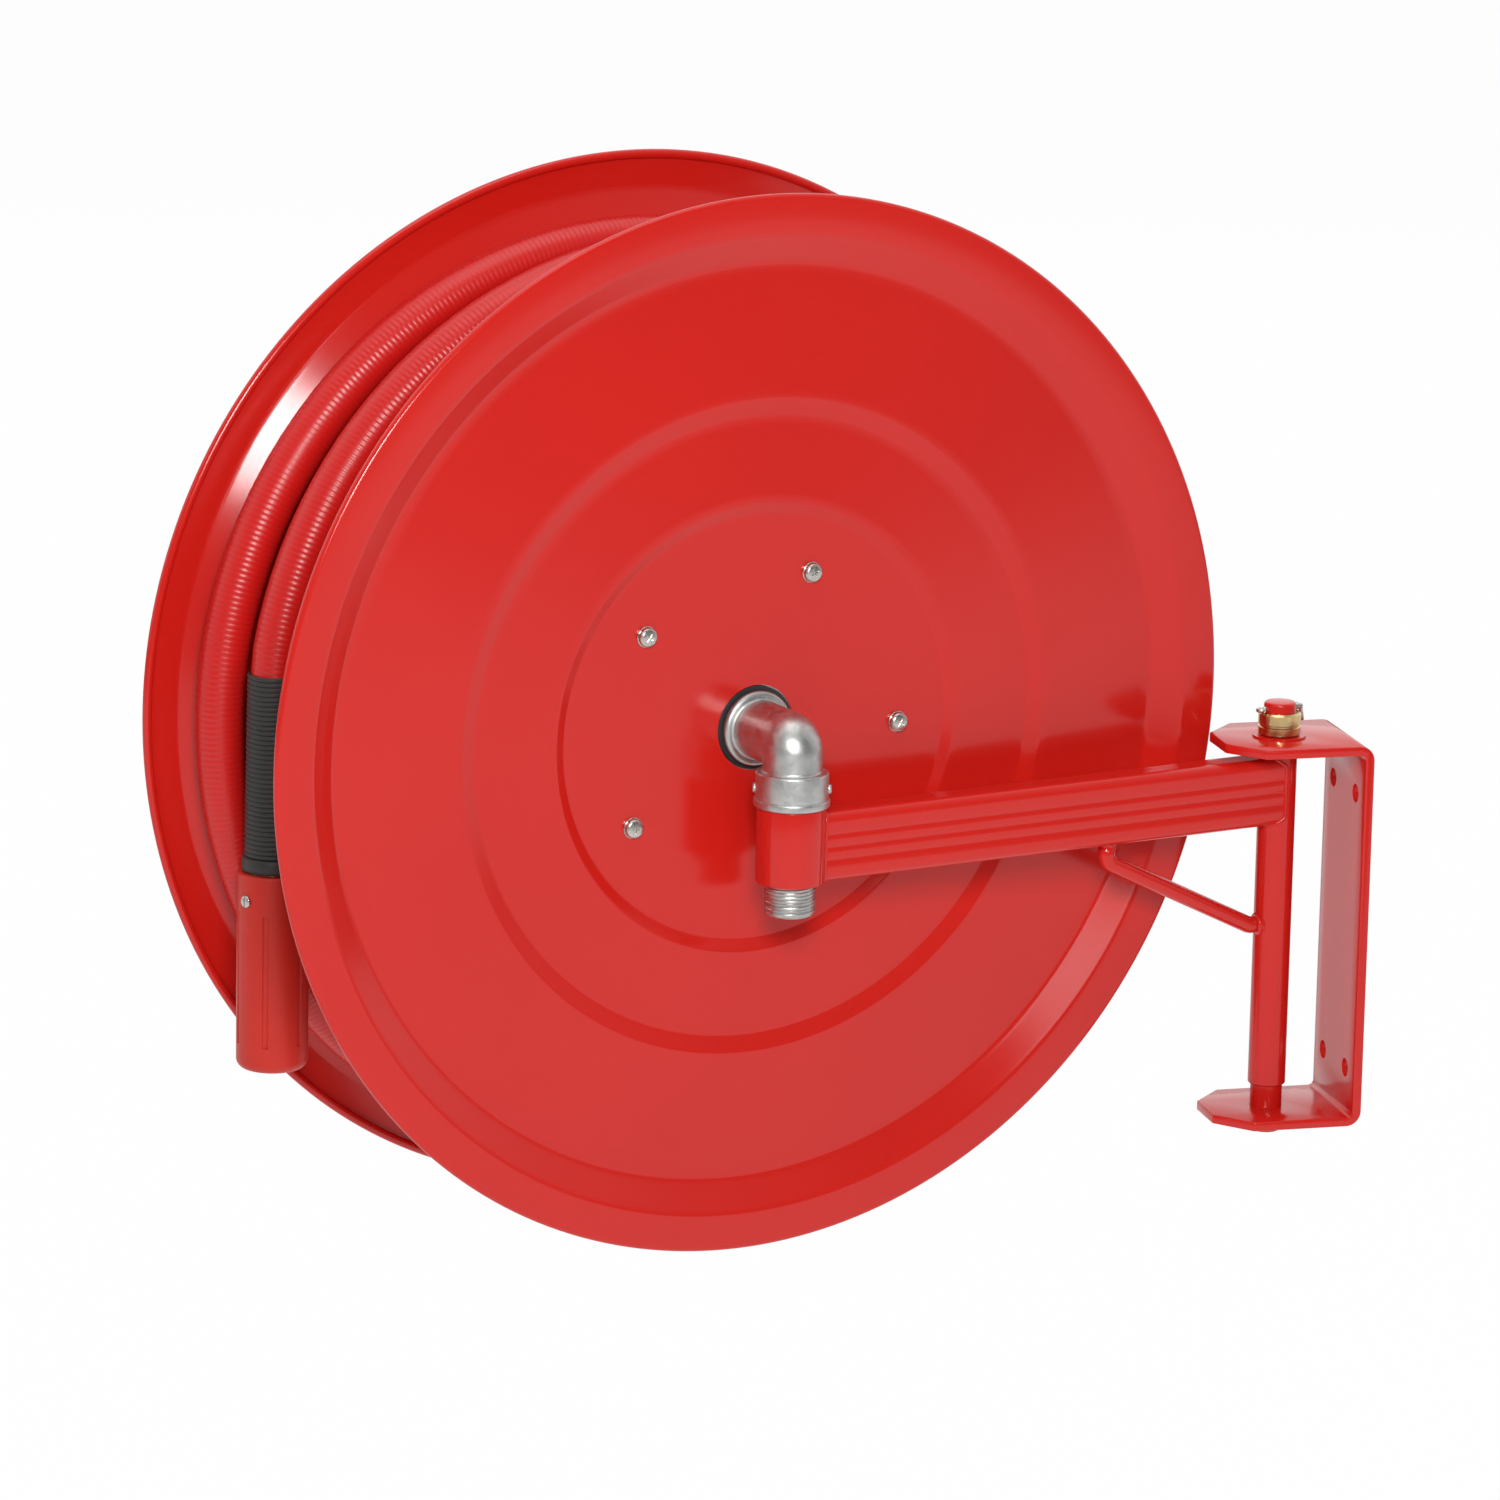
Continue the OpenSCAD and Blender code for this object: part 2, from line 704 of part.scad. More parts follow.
module flange_nuts() {
    color("silver") on_arm() {
        for (y = [flat_front + flange_t, flat_rear - flange_t - nut_h])
            at_screws(y) rotate([-90, 0, 0]) difference() {
                cylinder(d = screw_d * 1.85, h = nut_h, $fn = 6);
                cylinder(r = screw_d / 2 + seat_gap, h = 2 * nut_h, center = true, $fn = 32);
                translate([0, 0, nut_h]) cylinder(r = screw_d / 2 + seat_gap, h = nut_h, center = true, $fn = 32);
            }
    }
}

// --- Hose ----------------------------------------------------------------------

// The winding is described by s, the number of turns back from the free end.
climb = 0.75;       // turns that a change of layer takes

function turn_angle(s) = 180 - 360 * s;
function layer_y(s) = tail_y + hose_pitch / 2 - hose_pitch * (s - 2);
function turn_r(s) = s < 1
    ? tail_r + (crest_r - tail_r) * ease((s - 0.25) / climb)
    : crest_r - (crest_r - layer_r) * ease((s - 1) / climb);
function turn_y(s) = s < 1
    ? tail_y + (rear_y - tail_y) * ease((s - 0.45) / 0.4)
    : max(front_y, min(rear_y, layer_y(s)));
function turn_point(s) = let (a = turn_angle(s)) [turn_r(s) * cos(a), turn_y(s), turn_r(s) * sin(a)];

end_room = 3;       // what the end of the layer keeps clear of the front disc's side
wound_rings = floor(loop_rings * (2 + (tail_y + hose_pitch / 2 - front_y - end_room) / hose_pitch));
wound_end = wound_rings / loop_rings;
end_a = turn_angle(wound_end);
end_out = [cos(end_a), 0, sin(end_a)];
slope = hose_pitch / (2 * PI * layer_r);
end_way = [sin(end_a), -slope, -cos(end_a)];
end_point = turn_point(wound_end) + hose_d * end_way;

// Middle line of the wound hose, from its free end to where it dives under.
function hose_path() = concat(
    [for (k = [2, 1, 0]) [tail_x, tail_y, tail_top - k * hose_d]],
    [for (i = [1 : wound_rings]) turn_point(i / loop_rings)],
    [end_point]);

// A ring of points round p, square to the direction d.
function ring_points(p, d, r, n) =
    let (t = d / norm(d), u = cross(t, [0, 1, 0]), a = u / norm(u), b = cross(t, a))
    [for (k = [0 : n - 1]) p + r * (cos(360 * k / n) * a + sin(360 * k / n) * b)];

// Triangles of a closed tube of m rings with n points each.
function tube_faces(m, n) = concat(
    [for (k = [1 : n - 2]) [0, k, k + 1]],
    [for (i = [0 : m - 2], k = [0 : n - 1], h = [0, 1]) let (j = (k + 1) % n)
        h == 0 ? [i * n + k, (i + 1) * n + k, i * n + j]
               : [i * n + j, (i + 1) * n + k, (i + 1) * n + j]],
    [for (k = [1 : n - 2]) let (b = (m - 1) * n) [b, b + k + 1, b + k]]);

module swept_tube(path, r, n) {
    m = len(path);
    points = [for (i = [0 : m - 1]) each ring_points(path[i],
        path[min(i + 1, m - 1)] - path[max(i - 1, 0)], r, n)];
    polyhedron(points, tube_faces(m, n), convexity = 10);
}

// Least gap between two turns, measured on the middle line's points.
function least_gap(path, apart) = min([for (i = [0 : len(path) - 1 - apart],
    j = [i + apart : len(path) - 1]) norm(path[i] - path[j])]) - hose_d;

module hose_outer_turns() {
    path = hose_path();
    echo(least_gap_between_turns = least_gap(path, loop_rings / 2));
    color("crimson") on_arm() swept_tube(path, hose_r, hose_sides);
}

// The inner layers: a plain core, out of which the outer turns rise.
module hose_inner_layers() {
    dive_r = 70;
    color("crimson") on_arm() difference() {
        union() {
            ring_y(field_front + lay_gap, field_rear - lay_gap, pack_r, drum_r + lay_gap, big_fn);
            translate(end_point) rotate(-atan(slope), end_out) translate(-dive_r * end_out)
                rotate([-90, 0, 0]) rotate([0, 0, -end_a])
                    rotate_extrude(angle = 90, $fn = round_fn) translate([dive_r, 0])
                        circle(r = hose_r, $fn = 32);
        }
        outlet_line(-drum_r / 2, hose_in_x + free_gap - drum_r / 2, hose_r + free_gap);
    }
}

module hose_free_end() {
    color("crimson") on_nozzle()
        tube_z(barrel_top, tail_top - 2 * hose_d, hose_r, hose_bore / 2);
}

// Ribbed sleeve that keeps the hose from kinking at the nozzle.
module grip_sleeve() {
    r0 = grip_d / 2;
    slope = (grip_d - grip_top_d) / 2 / grip_l;
    collar = 7;
    lip = 1.2;
    rib = 0.6;
    pitch = (grip_l - collar) / grip_ribs;
    z0 = barrel_top + collar;
    color("#2b2b2b") on_nozzle() rotate_extrude($fn = round_fn) polygon(concat(
        [[hose_r + 0.2, tail_top], [hose_r + 0.2, barrel_top + free_gap],
         [r0 + lip - 0.4, barrel_top + free_gap], [r0 + lip, barrel_top + 2], [r0 + lip, z0 - 1]],
        [for (k = [0 : grip_ribs - 1]) let (r = r0 - slope * (collar + k * pitch))
            each [[r - rib, z0 + k * pitch + 0.05],
                  [r, z0 + (k + 0.35) * pitch], [r, z0 + (k + 0.65) * pitch]]],
        [[grip_top_d / 2 - rib, tail_top]]));
}

// --- Nozzle ---------------------------------------------------------------------

stem_r = stem_d / 2;
barrel_r = barrel_d / 2;
barrel_end = barrel_top - barrel_l;
stem_end = barrel_top - 62;

// Tail and stem of the nozzle: the hose fits over it and the barrel turns on it.
module nozzle_body() {
    w = tail_bore_r();
    z1 = tail_top - 2 * hose_d;
    z_neck = barrel_top - 1;
    flange = grip_d / 2 - 0.6;
    color("goldenrod") on_nozzle() difference() {
        rotate_extrude($fn = round_fn) polygon([
            [w, z1], [hose_bore / 2 - 0.8, z1], [hose_bore / 2, z1 - 4],
            [hose_bore / 2, barrel_top], [flange, barrel_top],
            [flange, z_neck], [stem_r, z_neck],
            [stem_r, stem_end], [w, stem_end]]);
        for (z = nozzle_ring_zs())
            tube_z(z - 1.3, z + 1.3, stem_r + 1, stem_r - 2.2);
    }
}

function nozzle_ring_zs() = [barrel_top - 28, stem_end + 8];

module nozzle_o_rings() {
    color("black") on_nozzle() for (z = nozzle_ring_zs())
        translate([0, 0, z]) rotate_extrude($fn = round_fn)
            translate([stem_r - 1.1, 0]) circle(r = 1.05, $fn = 24);
}

// Spider and pointed plunger inside the stem, which shuts the outlet.
module nozzle_plunger() {
    w = tail_bore_r();
    z0 = stem_end - 22;
    fin_t = 2;
    color("goldenrod") on_nozzle() {
        rotate_extrude($fn = 64) polygon([
            [0, stem_end + 30], [3, stem_end + 30], [3, z0 + 10], [1, z0], [0, z0]]);
        fin_l = sqrt(pow(w - seat_gap, 2) - pow(fin_t / 2, 2));
        for (a = [0, 120, 240]) rotate([0, 0, a]) translate([0, -fin_t / 2, stem_end + 15])
            cube([fin_l, fin_t, 10]);
    }
}

module nozzle_barrel() {
    r = barrel_r;
    round_r = 4;
    top = barrel_top - 1 - free_gap;
    z_flute = [barrel_end + 14, top - 20];
    bore = stem_r + run_gap;
    mouth = 8.5;
    color("firebrick") on_nozzle() difference() {
        rotate_extrude($fn = round_fn) polygon(concat(
            [[bore, top], [r - 1, top], [r, top - 1]],
            [for (k = [0 : 6]) let (a = -90 * k / 6)
                [r - round_r + round_r * cos(a), barrel_end + round_r + round_r * sin(a)]],
            [[mouth, barrel_end], [mouth, stem_end - 30], [bore, stem_end - 12]]));
        for (k = [0 : flute_n - 1])
            rotate([0, 0, 180 + guide_turn + flute_turn + k * 360 / flute_n])
                translate([r + flute_r - flute_deep, 0, z_flute[0]])
                    cylinder(r = flute_r, h = z_flute[1] - z_flute[0], $fn = 32);
        rotate([0, 0, 180 + guide_turn]) translate([0, 0, guide_z()]) rotate([0, 90, 0])
            cylinder(r = guide_r + seat_gap, h = far, $fn = 32);
    }
}

// Screw through the barrel that follows a groove in the stem.
guide_r = 2;
guide_head_r = 3.2;
function guide_z() = barrel_top - 14.5;

module guide_screw() {
    color("silver") on_nozzle() rotate([0, 0, 180 + guide_turn]) translate([0, 0, guide_z()])
        rotate([0, 90, 0]) difference() {
            union() {
                translate([0, 0, stem_r + 0.5])
                    cylinder(r = guide_r, h = barrel_r - stem_r - 0.4, $fn = 32);
                translate([0, 0, barrel_r]) cylinder(r1 = guide_head_r, r2 = guide_head_r - 0.6,
                                                     h = 1.6, $fn = 48);
            }
            translate([0, 0, barrel_r + 1.6]) cube([guide_head_r * 3, 0.9, 1.6], center = true);
        }
}

// Ring that shapes the jet, pressed into the mouth of the barrel.
module nozzle_insert() {
    color("dimgray") on_nozzle()
        tube_z(barrel_end + 1, barrel_end + 9, 8.5, 4.5, 64);
}

wall_bracket();
upper_bush();
lower_bush();
post_tube();
pivot_shaft();
thrust_collar();
split_pin();
arm_tube();
brace_rod();
inlet_sleeve();
inlet_nipple();
inlet_elbow();
spindle();
spindle_spacer();
spindle_o_rings();
spindle_circlip();
front_disc();
rear_disc();
drum_core();
hub();
front_flange();
rear_flange();
front_screws();
rear_screws();
front_washers();
rear_washers();
flange_nuts();
outlet_elbow();
hose_clamp();
hose_inner_end();
hose_inner_layers();
hose_outer_turns();
hose_free_end();
grip_sleeve();
nozzle_body();
nozzle_plunger();
nozzle_o_rings();
nozzle_barrel();
nozzle_insert();
guide_screw();
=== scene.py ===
"""Dresses the swinging fire hose reel: shapes with true edges, finishes, camera and lamps.

Pieces are shaped in millimetres in the frame of what carries them, and set down in
metres at their place in the row's frame.
"""

import json
import logging
import math
from collections.abc import Callable, Iterable, Sequence
from dataclasses import dataclass
from enum import Enum
from functools import cached_property

import bmesh
import bpy
from mathutils import Matrix, Vector


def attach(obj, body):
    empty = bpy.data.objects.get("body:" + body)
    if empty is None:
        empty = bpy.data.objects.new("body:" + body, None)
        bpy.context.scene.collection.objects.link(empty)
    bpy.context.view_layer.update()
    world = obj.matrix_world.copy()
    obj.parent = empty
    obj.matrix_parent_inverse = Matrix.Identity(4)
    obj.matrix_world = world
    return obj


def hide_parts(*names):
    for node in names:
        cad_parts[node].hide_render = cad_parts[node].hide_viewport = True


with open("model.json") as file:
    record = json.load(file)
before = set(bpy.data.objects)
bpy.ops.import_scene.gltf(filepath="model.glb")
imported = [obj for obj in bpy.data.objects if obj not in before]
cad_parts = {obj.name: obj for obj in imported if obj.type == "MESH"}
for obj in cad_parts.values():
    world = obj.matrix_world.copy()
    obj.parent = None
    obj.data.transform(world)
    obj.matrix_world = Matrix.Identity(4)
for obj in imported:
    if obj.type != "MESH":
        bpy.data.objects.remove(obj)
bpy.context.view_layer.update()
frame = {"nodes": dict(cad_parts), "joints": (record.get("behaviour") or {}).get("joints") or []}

log = logging.getLogger("hose_reel")

MM = 0.001
FULL_TURN = math.tau
QUARTER = math.radians(90)
WELD = 1e-4
UP = Vector((0, 0, 1))
WHITE = (1, 1, 1, 1)

Point2 = tuple[float, float]
Colour = tuple[float, float, float]
Place = tuple[float, float, float]
Socket = bpy.types.NodeSocket
Shape = bmesh.types.BMesh


class Body(Enum):
    """The bodies of the frame that pieces ride on."""

    BRACKET = "bracket"
    ARM = "arm"
    REEL = "reel"
    BARREL = "barrel"


class Slot(Enum):
    """The record's material slots."""

    RED_PAINT = "red_paint"
    GALVANISED = "galvanised"
    BRIGHT_ZINC = "bright_zinc"
    YELLOW_ZINC = "yellow_zinc"
    BRASS = "brass"
    BLACK_NYLON = "black_nylon"
    BLACK_RUBBER = "black_rubber"
    HOSE_RUBBER = "hose_rubber"
    RED_PLASTIC = "red_plastic"


# --- Frames of the sub-assemblies ---


def joint_named(name: str) -> dict:
    """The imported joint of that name, with its pos_m and axis."""
    return next(joint for joint in frame["joints"] if joint["name"] == name)


def placed(x_axis: Vector, y_axis: Vector, origin: Vector) -> Matrix:
    """The way from an upright frame's millimetres to the row's metres."""
    turn = Matrix((x_axis, y_axis, UP)).transposed().to_4x4()
    return Matrix.Translation(origin) @ turn @ Matrix.Scale(MM, 4)


@dataclass(frozen=True)
class Places:
    """Frames of the reel, elbow, pivot, nozzle and wall, worked out from the joints."""

    arm_gap: float = 32.0

    @property
    def _axes(self) -> tuple[Vector, Vector]:
        """The arm's long axis and the reel's axis."""
        along = Vector(joint_named("reel_turn")["axis"]).normalized()
        return along.cross(UP).normalized(), along

    @property
    def reel(self) -> Matrix:
        """Y along the reel's axis, with the front rim at y = 0."""
        return placed(*self._axes, Vector(joint_named("reel_turn")["pos_m"]))

    @property
    def elbow(self) -> Matrix:
        """The reel's frame moved to the arm's middle plane."""
        return self.reel @ Matrix.Translation((0, -self.arm_gap, 0))

    @property
    def pivot(self) -> Matrix:
        """Z on the pivot axis, at the height of the wall bolts' centre."""
        return placed(*self._axes, Vector(joint_named("arm_swing")["pos_m"]))

    @property
    def nozzle(self) -> Matrix:
        """Z on the nozzle's axis, with z = 0 at the reel axis' height.

        Returns:
            The way to the row's metres.
        """
        origin = Vector(joint_named("barrel_twist")["pos_m"])
        origin.z = joint_named("reel_turn")["pos_m"][2]
        return placed(*self._axes, origin)

    @property
    def wall(self) -> Matrix:
        """The row's own frame."""
        return Matrix.Scale(MM, 4)


PLACES = Places()


# --- Shaping ---


def arc(centre: Point2, radius: float, start: float, end: float, steps: int) -> list[Point2]:
    """Points of an arc from one angle in degrees to another, both ends included."""
    angles = [math.radians(start + (end - start) * i / steps) for i in range(steps + 1)]
    return [(centre[0] + radius * math.cos(a), centre[1] + radius * math.sin(a)) for a in angles]


def ease(share: float) -> float:
    """A smooth rise from 0 to 1."""
    held = max(0.0, min(1.0, share))
    return held * held * (3 - 2 * held)


def pressed(share: float, corner: float = 0.18) -> float:
    """A straight slope from 0 to 1 with rounded ends.

    Args:
        share: Place along the slope, from 0 to 1.
        corner: Share of the slope that each rounded end takes.

    Returns:
        The height at that place.
    """
    low = min(share, 1 - share)
    rise = low * low / (2 * corner) if low < corner else low - corner / 2
    rise /= 1 - corner
    return rise if share <= 0.5 else 1 - rise


def pressed_step(r0: float, r1: float, a: float, b: float, steps: int = 20) -> list[Point2]:
    """Points of a pressed step from radius r0 at depth a to radius r1 at depth b."""
    shares = [i / steps for i in range(steps + 1)]
    return [(r0 + (r1 - r0) * u, a + (b - a) * pressed(u)) for u in shares]


def spaced(points: Sequence[Point2], longest: float) -> list[Point2]:
    """Adds points where two lie far apart, so that long slopes keep their own shading.

    Args:
        points: Corners of an open line.
        longest: Longest distance that is left between two of them.

    Returns:
        The line with its added points.
    """
    made = [points[0]]
    for (x0, y0), (x1, y1) in zip(points, points[1:]):
        parts = max(1, math.ceil(math.hypot(x1 - x0, y1 - y0) / longest))
        made += [(x0 + (x1 - x0) * k / parts, y0 + (y1 - y0) * k / parts)
                 for k in range(1, parts + 1)]
    return made


def turned(profile: Sequence[Point2], steps: int = 96, turn: Matrix = Matrix()) -> Shape:
    """Spins a profile about Z into a closed shape.

    Args:
        profile: Corners as radius and height. It is closed, unless both ends lie on the axis.
        steps: Steps of the spin.
        turn: Where the spun shape goes.

    Returns:
        The new mesh.
    """
    bm = bmesh.new()
    verts = [bm.verts.new((r, 0, z)) for r, z in profile]
    edges = [bm.edges.new((a, b)) for a, b in zip(verts, verts[1:])]
    if profile[0][0] > 0:
        edges.append(bm.edges.new((verts[-1], verts[0])))
    bmesh.ops.spin(bm, geom=verts + edges, axis=(0, 0, 1), cent=(0, 0, 0), angle=FULL_TURN,
                   steps=steps, use_merge=True, use_duplicate=False)
    bmesh.ops.remove_doubles(bm, verts=bm.verts, dist=WELD)
    bmesh.ops.recalc_face_normals(bm, faces=bm.faces)
    bm.transform(turn)
    return bm


ABOUT_REEL = Matrix.Rotation(-QUARTER, 4, "X")


def extruded(outline: Iterable[Point2], plane: Matrix, way: Vector) -> Shape:
    """A closed prism.

    Args:
        outline: Corners in the plane's X and Y.
        plane: Matrix from the plane to the mesh.
        way: How far and where the outline is pulled.

    Returns:
        The new mesh.
    """
    bm = bmesh.new()
    base = bm.faces.new([bm.verts.new(plane @ Vector((x, y, 0))) for x, y in outline])
    pulled = bmesh.ops.extrude_face_region(bm, geom=[base])
    moved = [v for v in pulled["geom"] if isinstance(v, bmesh.types.BMVert)]
    bmesh.ops.translate(bm, verts=moved, vec=way)
    bmesh.ops.recalc_face_normals(bm, faces=bm.faces)
    return bm


def round_edges(bm: Shape, width: float, segments: int = 2, above: float = 35.0) -> None:
    """Bevels every edge that is sharper than an angle.

    Args:
        bm: The mesh to bevel.
        width: Width of the bevel.
        segments: Steps across the bevel.
        above: Least angle in degrees between the edge's two faces.
    """
    limit = math.radians(above)
    sharp = [e for e in bm.edges if e.is_manifold and e.calc_face_angle(0) > limit]
    bmesh.ops.bevel(bm, geom=sharp, offset=width, offset_type="OFFSET", segments=segments,
                    profile=0.5, affect="EDGES", clamp_overlap=True, material=-1)


def joined(*parts: Shape) -> Shape:
    """One mesh with the shells of all the given ones, which are freed.

    Args:
        parts: The meshes to join.

    Returns:
        The new mesh.
    """
    whole = bmesh.new()
    for part in parts:
        shell = bpy.data.meshes.new("shell")
        part.to_mesh(shell)
        part.free()
        whole.from_mesh(shell)
        bpy.data.meshes.remove(shell)
    return whole


def swept(path: Sequence[Vector], radius: float | Callable[[float], float], sides: int,
          uv_scale: float = 1.0) -> Shape:
    """A closed round tube along a path, with a UV map that follows it.

    Args:
        path: The middle line's points.
        radius: The tube's radius, or its radius at each share of the path's points.
        sides: Faces round the tube.
        uv_scale: What lengths are multiplied by in the UV map.

    Returns:
        The new mesh. U runs along the tube and V once round it.
    """
    bm = bmesh.new()
    uv = bm.loops.layers.uv.new("along")
    last = len(path) - 1
    side = UP.cross(path[1] - path[0])
    side = side.normalized() if side.length > 1e-6 else Vector((0, 1, 0))
    rings, lengths, run = [], [], 0.0
    for i, point in enumerate(path):
        way = (path[min(i + 1, last)] - path[max(i - 1, 0)]).normalized()
        side = (side - way * side.dot(way)).normalized()
        across = way.cross(side)
        r = radius(i / last) if callable(radius) else radius
        turns = [FULL_TURN * k / sides for k in range(sides)]
        rings.append([bm.verts.new(point + r * (math.cos(t) * side + math.sin(t) * across))
                      for t in turns])
        run += (point - path[i - 1]).length if i else 0.0
        lengths.append(run * uv_scale)
    for i in range(last):
        for k in range(sides):
            j = (k + 1) % sides
            face = bm.faces.new((rings[i][k], rings[i][j], rings[i + 1][j], rings[i + 1][k]))
            ends = ((i, k), (i, k + 1), (i + 1, k + 1), (i + 1, k))
            for loop, (ring, step) in zip(face.loops, ends):
                loop[uv].uv = (lengths[ring], step / sides)
    bm.faces.new(list(reversed(rings[0])))
    bm.faces.new(rings[-1])
    return bm


def rounded_path(corners: Sequence[Vector], bend: float, steps: int = 10) -> list[Vector]:
    """A path whose inner corners are round bends.

    Args:
        corners: The corners of the path.
        bend: Radius of the bends.
        steps: Steps in each bend.

    Returns:
        The points of the path.
    """
    path = [corners[0]]
    for before, corner, after in zip(corners, corners[1:], corners[2:]):
        a, b = (before - corner).normalized(), (after - corner).normalized()
        half = a.angle(b) / 2
        reach = bend / math.tan(half)
        middle = corner + (a + b).normalized() * bend / math.sin(half)
        start, end = corner + a * reach - middle, corner + b * reach - middle
        path += [middle + bend * start.slerp(end, i / steps) for i in range(steps + 1)]
    return path + [corners[-1]]


def drilled(bm: Shape, cutters: Iterable[Shape]) -> Shape:
    """A mesh less the given cutters, which are freed.

    Args:
        bm: The mesh to cut.
        cutters: Closed meshes to take away.

    Returns:
        The cut mesh.
    """
    body, tool = bpy.data.meshes.new("cut_body"), bpy.data.meshes.new("cut_tool")
    bm.to_mesh(body)
    bm.free()
    tools = joined(*cutters)
    tools.to_mesh(tool)
    tools.free()
    pair = [bpy.data.objects.new(m.name, m) for m in (body, tool)]
    for item in pair:
        bpy.context.scene.collection.objects.link(item)
    cut = pair[0].modifiers.new("cut", "BOOLEAN")
    cut.operation = "DIFFERENCE"
    cut.solver = "EXACT"
    cut.object = pair[1]
    graph = bpy.context.evaluated_depsgraph_get()
    result = bmesh.new()
    result.from_mesh(bpy.data.meshes.new_from_object(pair[0].evaluated_get(graph)))
    for item in pair:
        bpy.data.objects.remove(item)
    bmesh.ops.remove_doubles(result, verts=result.verts, dist=WELD)
    return result


def rod(radius: float, start: Vector, end: Vector, sides: int = 32) -> Shape:
    """A closed round bar between two points.

    Args:
        radius: Radius of the bar.
        start: Middle of one end.
        end: Middle of the other end.
        sides: Faces round the bar.

    Returns:
        The new mesh.
    """
    bm = bmesh.new()
    way = end - start
    bmesh.ops.create_cone(bm, cap_ends=True, segments=sides, radius1=radius, radius2=radius,
                          depth=way.length)
    turn = way.to_track_quat("Z", "Y").to_matrix().to_4x4()
    bm.transform(Matrix.Translation((start + end) / 2) @ turn)
    return bm



# --- Shader groups ---


class Graph:
    """A node tree that is built a call at a time."""

    def __init__(self, tree: bpy.types.NodeTree) -> None:
        """Starts on a tree."""
        self.tree = tree

    def feed(self, node: bpy.types.Node, links: dict) -> bpy.types.Node:
        """Fills a node's inputs.

        Args:
            node: The node.
            links: Input name or number to a value or an output socket.

        Returns:
            The same node.
        """
        for key, value in links.items():
            if isinstance(value, Socket):
                self.tree.links.new(value, node.inputs[key])
            else:
                node.inputs[key].default_value = value
        return node

    def add(self, kind: str, links: dict | None = None, **settings: object) -> bpy.types.Node:
        """Adds a node.

        Args:
            kind: The node's type.
            links: Input name or number to a value or an output socket.
            settings: Properties of the node.

        Returns:
            The new node.
        """
        node = self.tree.nodes.new(kind)
        for name, value in settings.items():
            setattr(node, name, value)
        return self.feed(node, links or {})

    def maths(self, operation: str, *values: float | Socket) -> Socket:
        """The result of a Math node."""
        node = self.add("ShaderNodeMath", dict(enumerate(values)), operation=operation)
        return node.outputs["Value"]

    def ranged(self, value: Socket, start: Point2, end: tuple = (0.0, 1.0)) -> Socket:
        """A value carried from one range over to another, and held inside it.

        Args:
            value: The value to carry over.
            start: The range that it comes from.
            end: The range that it goes to, as numbers or output sockets.

        Returns:
            The output socket of the result.
        """
        return self.add("ShaderNodeMapRange", {
            "Value": value, "From Min": start[0], "From Max": start[1],
            "To Min": end[0], "To Max": end[1]}).outputs["Result"]

    def noise(self, where: Socket, scale: float | Socket, detail: float,
              rough: float = 0.5) -> Socket:
        """The grey of a noise texture."""
        return self.add("ShaderNodeTexNoise", {"Vector": where, "Scale": scale, "Detail": detail,
                                               "Roughness": rough}).outputs["Fac"]


def mottle(graph: Graph, given: bpy.types.NodeOutputs) -> dict[str, Socket]:
    """Slow drifts of colour and gloss, over a fine skin.

    Args:
        graph: The group's graph.
        given: The group's inputs.

    Returns:
        Output sockets of the colours' share, the gloss and the height.
    """
    middle_greys = (0.35, 0.65)
    where = graph.add("ShaderNodeTexCoord").outputs["Object"]
    patches = graph.noise(where, given["Pattern Scale"], detail=4.0, rough=0.55)
    drift = graph.ranged(patches, middle_greys)
    skin = graph.noise(where, given["Skin Scale"], detail=1.5)
    return {"Share": drift, "Gloss": drift, "Height": skin}


def spangle(graph: Graph, given: bpy.types.NodeOutputs) -> dict[str, Socket]:
    """Crystals of zinc, each with its own grey and gloss, over a cast skin.

    Args:
        graph: The group's graph.
        given: The group's inputs.

    Returns:
        Output sockets of the colours' share, the gloss and the height.
    """
    where = graph.add("ShaderNodeTexCoord").outputs["Object"]
    cells = graph.add("ShaderNodeTexVoronoi", {"Vector": where, "Scale": given["Pattern Scale"]})
    grey = graph.add("ShaderNodeSeparateColor", {"Color": cells.outputs["Color"]}).outputs
    cast = graph.noise(where, given["Skin Scale"], detail=5.0, rough=0.6)
    return {"Share": grey["Red"], "Gloss": grey["Green"], "Height": cast}


def ribs(graph: Graph, given: bpy.types.NodeOutputs) -> dict[str, Socket]:
    """Fine ribs square to a tube, read from its own UV map, at one gloss.

    Args:
        graph: The group's graph.
        given: The group's inputs.

    Returns:
        Output sockets of the colours' share, which is a painted shade in the bottoms of the
        grooves, and the height.
    """
    waver_share, wave_span, groove_shade_span = 0.15, (-1.0, 1.0), (-1.0, -0.4)
    uv = graph.add("ShaderNodeUVMap", uv_map="along").outputs["UV"]
    along = graph.add("ShaderNodeSeparateXYZ", {"Vector": uv}).outputs["X"]
    waver = graph.maths("MULTIPLY", graph.noise(uv, scale=40.0, detail=2.0), waver_share)
    count = graph.maths("MULTIPLY_ADD", along, given["Pattern Scale"], waver)
    wave = graph.maths("SINE", graph.maths("MULTIPLY", count, FULL_TURN))
    # The share paints shade into the bottoms of the grooves, in the hose's second colour.
    return {"Share": graph.ranged(wave, groove_shade_span, (1.0, 0.0)),
            "Height": graph.ranged(wave, wave_span)}


